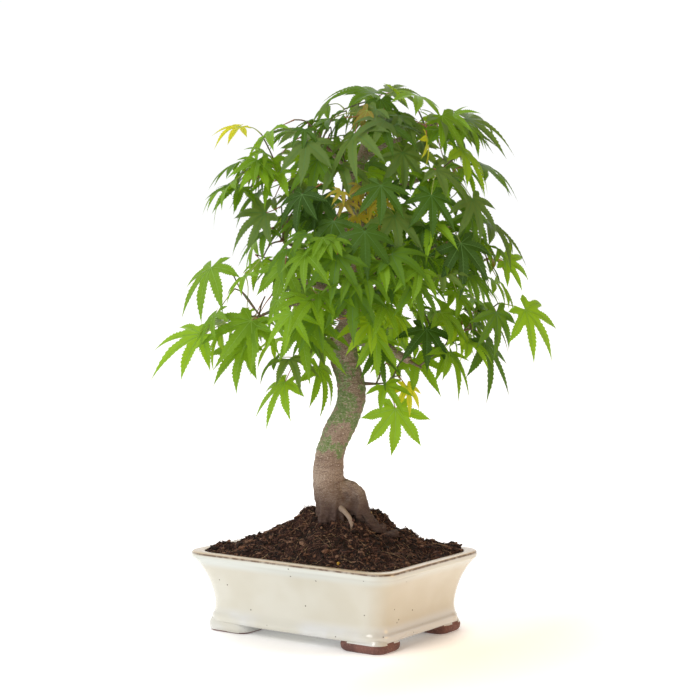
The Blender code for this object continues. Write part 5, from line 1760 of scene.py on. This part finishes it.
def build_bark(finish):
    """Trunk, roots and boughs as one skin of bark."""
    knob = [(*row[:3], row[3] * KNOB_SMALLER) for row in KNOB] + [KNOB_END]
    rows_list = [TRUNK, knob, THICK_ROOT, LEFT_ROOT, BACK_ROOT]
    for row in BOUGHS.values():
        rows_list.append(bough_path(*row))
    mesh = joined_limbs(rows_list)
    shape = bmesh.new()
    shape.from_mesh(mesh)
    cut_at_ground(shape)
    shape.normal_update()
    moves = []
    for vertex in shape.verts:
        width = min(1.0, trunk_at(vertex.co.z / MM)[3] / FULL_RELIEF_FROM)
        moves.append(vertex.normal * (bark_relief(vertex.co) * width))
    for vertex, move in zip(shape.verts, moves):
        if vertex.co.z > RELIEF_FROM * MM:
            vertex.co += move
        vertex.co += POT_MIDDLE
    for face in shape.faces:
        face.smooth = True
    shape.to_mesh(mesh)
    shape.free()
    mesh.materials.clear()
    mesh.materials.append(finish.material)
    bark = bpy.data.objects.new("bark_of_trunk_and_boughs", mesh)
    bpy.context.scene.collection.objects.link(bark)
    fitted(bark, "bark", "trunk", *BOUGHS)


def build_front_root(finish):
    """The pale thin root in front."""
    heap = Heap()
    points = [world(*row[:3]) for row in FRONT_ROOT]
    heap.add(*tube(points, [row[3] * MM for row in FRONT_ROOT], *FRONT_ROOT_MESH), 0)
    for i, (x, y, z) in enumerate(heap.points):
        heap.points[i] = (x + noise.noise(Vector((x, y, z)) * FRONT_ROOT_WAVES) * FRONT_ROOT_WAVE, y, z)
    heap.piece("pale_front_root", [finish], "bark")


def pot_outline(inset):
    """The pot's outline at an inset from the rim's edge."""
    corner = POT_CORNER - CORNER_SHARPENS * inset
    return rounded_outline(POT_LENGTH - 2 * inset, POT_WIDTH - 2 * inset, corner, SIDE_BOW, *POT_STEPS)


def pot_with_feet():
    """The tray with its moulding, and a foot fused under each corner."""
    rows = smooth_path(OUTER_WALL, 4) + smooth_path(INNER_WALL, 3)
    rings = [[(x, y, z * MM) for x, y in pot_outline(inset * MM)] for inset, z in rows]
    pot = solid_from("glazed_pot", *loft(rings))
    feet = bpy.data.collections.new("feet")
    bpy.context.scene.collection.children.link(feet)
    centre_x = POT_LENGTH / 2 - FOOT_INSET - FOOT_LENGTH / 2
    centre_y = POT_WIDTH / 2 - FOOT_INSET - FOOT_WIDTH / 2
    for sign_x in (1, -1):
        for sign_y in (1, -1):
            rings = []
            for inset, z in smooth_path(FOOT_PROFILE, 4):
                trim = 2 * inset * MM
                corner = FOOT_CORNER - inset * MM
                outline = rounded_outline(FOOT_LENGTH - trim, FOOT_WIDTH - trim, corner, 0, *FOOT_STEPS)
                rings.append([(x + sign_x * centre_x, y + sign_y * centre_y, z * MM) for x, y in outline])
            feet.objects.link(solid_from("foot", *loft(rings)))
    bpy.context.scene.collection.objects.link(pot)
    fuse = pot.modifiers.new("feet", "BOOLEAN")
    fuse.operation = "UNION"
    fuse.operand_type = "COLLECTION"
    fuse.collection = feet
    mesh = as_modified(pot)
    pot.modifiers.clear()
    pot.data = mesh
    for foot in list(feet.objects):
        bpy.data.objects.remove(foot)
    bpy.data.collections.remove(feet)
    return pot


def build_pot(glaze, clay):
    """The pot with its uneven glaze, which ends in a wavy edge over the bare clay."""
    pot = pot_with_feet()
    mesh = pot.data
    for vertex in mesh.vertices:
        x, y, z = vertex.co
        if z > FLAT_UNDER:
            out = Vector((x, y, 0)).normalized()
            vertex.co += out * noise.noise(Vector((x, y, z)) * GLAZE_WAVES) * GLAZE_WAVE
    mesh.materials.clear()
    for finish in (glaze, clay):
        mesh.materials.append(finish.material)
    for face in mesh.polygons:
        x, y, z = face.center
        face.material_index = 1 if z < clay_edge(x, y) else 0
        face.use_smooth = True
    for vertex in mesh.vertices:
        vertex.co += POT_MIDDLE
    mesh.set_sharp_from_angle(angle=SHARP_EDGE)
    fitted(pot, "glaze", "pot")


def clay_edge(x, y):
    """Height under which the clay is bare: higher on the feet at the right than at the left."""
    wave = noise.noise(Vector((x, y, 0.0)) * CLAY_WAVES) * CLAY_WAVE
    if x < 0:
        return CLAY_LEFT[0 if y < 0 else 1] + 0.5 * wave
    return CLAY_RIGHT + wave


def solid_from(name, points, faces):
    """A closed solid with its faces pointing out."""
    mesh = bpy.data.meshes.new(name)
    mesh.from_pydata([tuple(point) for point in points], [], faces)
    shape = bmesh.new()
    shape.from_mesh(mesh)
    bmesh.ops.recalc_face_normals(shape, faces=shape.faces)
    if shape.calc_volume(signed=True) < 0:
        bmesh.ops.reverse_faces(shape, faces=shape.faces)
    shape.to_mesh(mesh)
    shape.free()
    return bpy.data.objects.new(name, mesh)


def crumbled(x, y, level, share):
    """A point of the soil's top, pushed about as loose soil lies."""
    here = Vector((x, y, 0.0))
    crumbs = noise.noise(here * CLODS[0]) * CLODS[1] + abs(noise.noise(here * CRUMBS[0] + UP)) * CRUMBS[1]
    crumbs += noise.noise(here * SPECKS[0]) * SPECKS[1]
    hollow = SOIL_HOLLOW * 4 * share * (1 - share)
    for across, toward, rise, radius in SOIL_CLUMPS:
        off = (here - world(across, toward, 0)).length / (radius * MM)
        level += rise * MM * math.exp(-off * off)
    even = min(1.0, EVEN_AT_WALL + EVEN_GROWS * (1 - share))
    return x, y, level - hollow + (crumbs - CRUMBS_SUNK) * MM * even


def build_soil(finish, litter_finishes):
    """Crumbled soil up to the trunk, strewn with fibres, chips and grains."""
    edge, low = (pot_outline((row[0] + off) * MM) for row, off in zip(INNER_WALL[1:3], SOIL_OFF_WALL))
    rings = [[(x, y, SOIL_EDGE - SOIL_SIDE) for x, y in low], [(x, y, SOIL_EDGE) for x, y in edge]]
    top = world(MOUND_ACROSS, MOUND_TOWARD, 0)
    for ring in range(1, FINE_SOIL_RINGS):
        share = 1 - ring / FINE_SOIL_RINGS
        row = []
        for x, y in edge:
            out = Vector((x, y, 0)) - top
            out = out * share + out.normalized() * MOUND_RADIUS * (1 - share)
            px, py, level = top + out * share
            row.append(crumbled(px, py, mound_height(share, px, py), share))
        rings.append(row)
    points, faces = loft(rings)
    heap = Heap()
    heap.add(points, faces, 0)
    heap.piece("crumbled_soil", [finish], "soil", ["soil"])
    ground = BVHTree.FromPolygons([Vector(point) for point in points], faces)
    strew(ground, edge, litter_finishes)
    return ground


def on_ground(ground, x, y):
    """Point of the soil under a place in plan, or None past its edge."""
    return ground.ray_cast(Vector((x, y, OVER_SOIL)), -UP)[0]


def strew(ground, edge, finishes):
    """Fibres, bark chips and grains that lie on the soil, in one piece."""
    draw = random.Random("litter")
    half_x = max(x for x, y in edge)
    half_y = max(y for x, y in edge)
    litter = Heap()
    knob = ball(1, 1.0)
    for number in range(FIBRES + CHIPS + GRAINS):
        x, y = draw.uniform(-half_x, half_x), draw.uniform(-half_y, half_y)
        point = on_ground(ground, x, y)
        if point is None:
            continue
        if number < FIBRES:
            add_fibre(litter, ground, point, draw)
        else:
            add_chip(litter, knob, point, number - FIBRES, draw)
    litter.piece("litter_on_soil", finishes, "soil", (), False)


def add_fibre(litter, ground, point, draw):
    """A fibre that lies on the soil, or rises from it and falls again."""
    heading = draw.uniform(0, math.tau)
    bend = draw.uniform(*FIBRE_BEND)
    rise = draw.choice(FIBRE_RISE) * draw.random()
    step = draw.uniform(*FIBRE_STEP)
    lift = 0.0
    path = [point - UP * FIBRE_SUNK]
    for joint in range(FIBRE_JOINTS):
        heading += bend * draw.uniform(*FIBRE_UNEVEN)
        ahead = path[-1] + Vector((math.cos(heading), math.sin(heading), 0.0)) * step
        floor = on_ground(ground, ahead.x, ahead.y)
        if floor is None:
            break
        lift = max(0.0, lift + step * (rise - FIBRE_FALLS * joint))
        ahead.z = floor.z + LITTER_LIFT + lift
        path.append(ahead)
    if len(path) > 2:
        thick = draw.uniform(*FIBRE_RADIUS)
        radii = [thick] * (len(path) - 1) + [thick * FIBRE_POINT]
        litter.add(*limb_solid(path, radii, 3), draw.choice(FIBRE_CHOICE))


def add_chip(litter, knob, point, number, draw):
    """A lumpy chip of bark, or after the chips a grain, tilted and turned at random."""
    if number < CHIPS:
        size = [draw.uniform(*span) for span in CHIP_SIDES]
        if number % CLOD_EVERY == 0:
            size = [side * CLOD_LARGER for side in size]
    else:
        size = [draw.uniform(*GRAIN_SIDE) for side in "xyz"]
    tilt = Vector((draw.uniform(*CHIP_TILT), draw.uniform(*CHIP_TILT), 1)).to_track_quat("Z", "X")
    spin = math.degrees(draw.uniform(0, math.tau))
    corners, faces = knob
    points = []
    for corner in corners:
        lump = draw.uniform(*CHIP_LUMPS)
        lumpy = Vector([across * side * MM * lump for across, side in zip(corner, size)])
        points.append(point + tilt @ turned(lumpy, spin) + UP * LITTER_LIFT)
    litter.add(points, faces, draw.choice(CHIP_CHOICE if number < CHIPS else GRAIN_CHOICE))


def ball(splits, radius):
    """Points and faces of a ball."""
    shape = bmesh.new()
    bmesh.ops.create_icosphere(shape, subdivisions=splits, radius=radius)
    points = [vertex.co.copy() for vertex in shape.verts]
    faces = [[vertex.index for vertex in face.verts] for face in shape.faces]
    shape.free()
    return points, faces


def litter_finishes():
    """Fibres and chips from black to straw."""
    made = []
    for name, *tints in LITTER_TINTS:
        finish = Finish(name, tints[0], 0.9, Specular_IOR_Level=0.25)
        finish.mottle(finish.grain(700.0, 2.0).between(0.4, 0.62), tints)
        made.append(finish)
    return made


def photo_place(spot, ground):
    """Where the line of sight through a point of the photograph, or just under it, meets the soil."""
    eye = bpy.context.scene.camera.location - POT_MIDDLE
    px, py = spot
    right = Vector((math.cos(CAMERA_TURN), math.sin(CAMERA_TURN), 0.0))
    ahead = (TARGET - eye).normalized()
    above = right.cross(ahead)
    half = PHOTO_SIDE / 2
    for lower in range(PHOTO_SIDE - int(py)):
        ray = ahead * (LENS / SENSOR * PHOTO_SIDE) + right * (px - half) + above * (half - py - lower)
        place = ground.ray_cast(eye, ray.normalized())[0]
        if place is not None:
            return place
    return Vector((0.0, 0.0, MOUND_TOP))


def build_pellets(ground, finish):
    """Small yellow pellets of fertilizer on the soil."""
    for number, (spot, radius) in enumerate(PELLETS):
        corners, faces = ball(3, radius * MM)
        middle = photo_place(spot, ground) + UP * radius * 0.5 * MM
        lumps = [1 + PELLET_LUMP * noise.noise(corner * PELLET_LUMPS) for corner in corners]
        heap = Heap()
        heap.add([corner * lump + middle for corner, lump in zip(corners, lumps)], faces, 0)
        heap.piece("pellet_%d" % number, [finish], "soil")


def set_camera():
    """The photograph's viewpoint."""
    lens = bpy.data.cameras.new("camera")
    lens.lens = LENS
    lens.sensor_width = SENSOR
    camera = bpy.data.objects.new("camera", lens)
    bpy.context.scene.collection.objects.link(camera)
    level = math.cos(CAMERA_LIFT)
    back = Vector((math.sin(CAMERA_TURN) * level, -math.cos(CAMERA_TURN) * level, math.sin(CAMERA_LIFT)))
    camera.location = POT_MIDDLE + TARGET + back * CAMERA_AWAY
    camera.rotation_euler = (-back).to_track_quat("-Z", "Y").to_euler()
    bpy.context.scene.camera = camera


def set_floor():
    """A plain pale floor that glows, so that it stays pale in the pot's shadow; its glow is weaker round the
    pot as painted shadow and warm beside its short end as painted warm light.
    """
    finish = Finish("pale floor", (0.86, 0.86, 0.86), 0.9, Specular_IOR_Level=0.1)
    spot = finish.place()
    away = finish.node("VectorMath", {"operation": "DISTANCE"}, {0: spot, 1: POT_MIDDLE}, "Value")
    # The weaker glow round the pot is a painted shadow.
    glow = (GLOW_UNDER + away.between(*GLOW_AWAY) * (1 - GLOW_UNDER)) * FLOOR_GLOW
    # The warm glow beside the pot's short end is painted warm light.
    beside = finish.node("SeparateXYZ", {}, {0: spot}, "X").between(*WARM_BESIDE)
    warm = finish.mix(beside * (1 - away.between(*WARM_AWAY)), (1.0, 1.0, 1.0), PAINTED_WARM_GLOW)
    finish.mottle(finish.grain(3.0, 1.0), FLOOR_TINTS, Emission_Color=finish.mix(glow, (0.0, 0.0, 0.0), warm),
                  Emission_Strength=1.0)
    mesh = bpy.data.meshes.new("floor")
    corners = ((-1, -1), (1, -1), (1, 1), (-1, 1))
    mesh.from_pydata([(x * FLOOR, y * FLOOR, 0.0) for x, y in corners], [], [(0, 1, 2, 3)])
    mesh.materials.append(finish.material)
    floor = bpy.data.objects.new("floor", mesh)
    floor.location.z = -FLOOR_UNDER
    bpy.context.scene.collection.objects.link(floor)


def set_surround():
    """An even pale surround, dimmer and warmer on one side."""
    surround = Surround()
    direction = surround.node("TexCoord", output="Generated")
    shade = surround.along(direction, SHADE_SIDE, SHADE_RANGE) * surround.along(direction, UP, SHADE_RISE)
    surround.show(Color=surround.mix(shade, SURROUND_LIGHT, SURROUND_SHADE), Strength=1.0)


def set_lights():
    """Soft round lights, each aimed at a height over the pot's middle."""
    for name, across, toward, up, size, power, colour, aim_height in LIGHTS:
        light = bpy.data.lights.new(name, "AREA")
        light.shape = "DISK"
        light.size = size
        light.energy = power
        light.color = colour
        lamp = bpy.data.objects.new(name, light)
        lamp.location = POT_MIDDLE + world(across * 1000, toward * 1000, up * 1000)
        aim = POT_MIDDLE + Vector((0, 0, aim_height)) - lamp.location
        lamp.rotation_euler = aim.to_track_quat("-Z", "Y").to_euler()
        bpy.context.scene.collection.objects.link(lamp)


def main():
    """Camera, floor and lights, then bark, pot, soil and leaves."""
    bpy.context.scene.view_settings.view_transform = "Standard"
    set_camera()
    set_floor()
    set_surround()
    set_lights()
    build_bark(bark_finish())
    pale = Finish("pale root", (0.30, 0.22, 0.16), 0.8)
    pale.mottle(pale.grain(500.0), ROOT_TINTS)
    build_front_root(pale)
    build_pot(glaze_finish(), clay_finish())
    ground = build_soil(soil_finish(), litter_finishes())
    amber = Finish("yellow pellet", (0.62, 0.34, 0.02), 0.35)
    amber.mottle(amber.grain(800.0), PELLET_TINTS)
    build_pellets(ground, amber)
    blades, veins = leaf_finishes()
    dress_masses(grow_masses(), blades, veins, twig_finishes())


main()
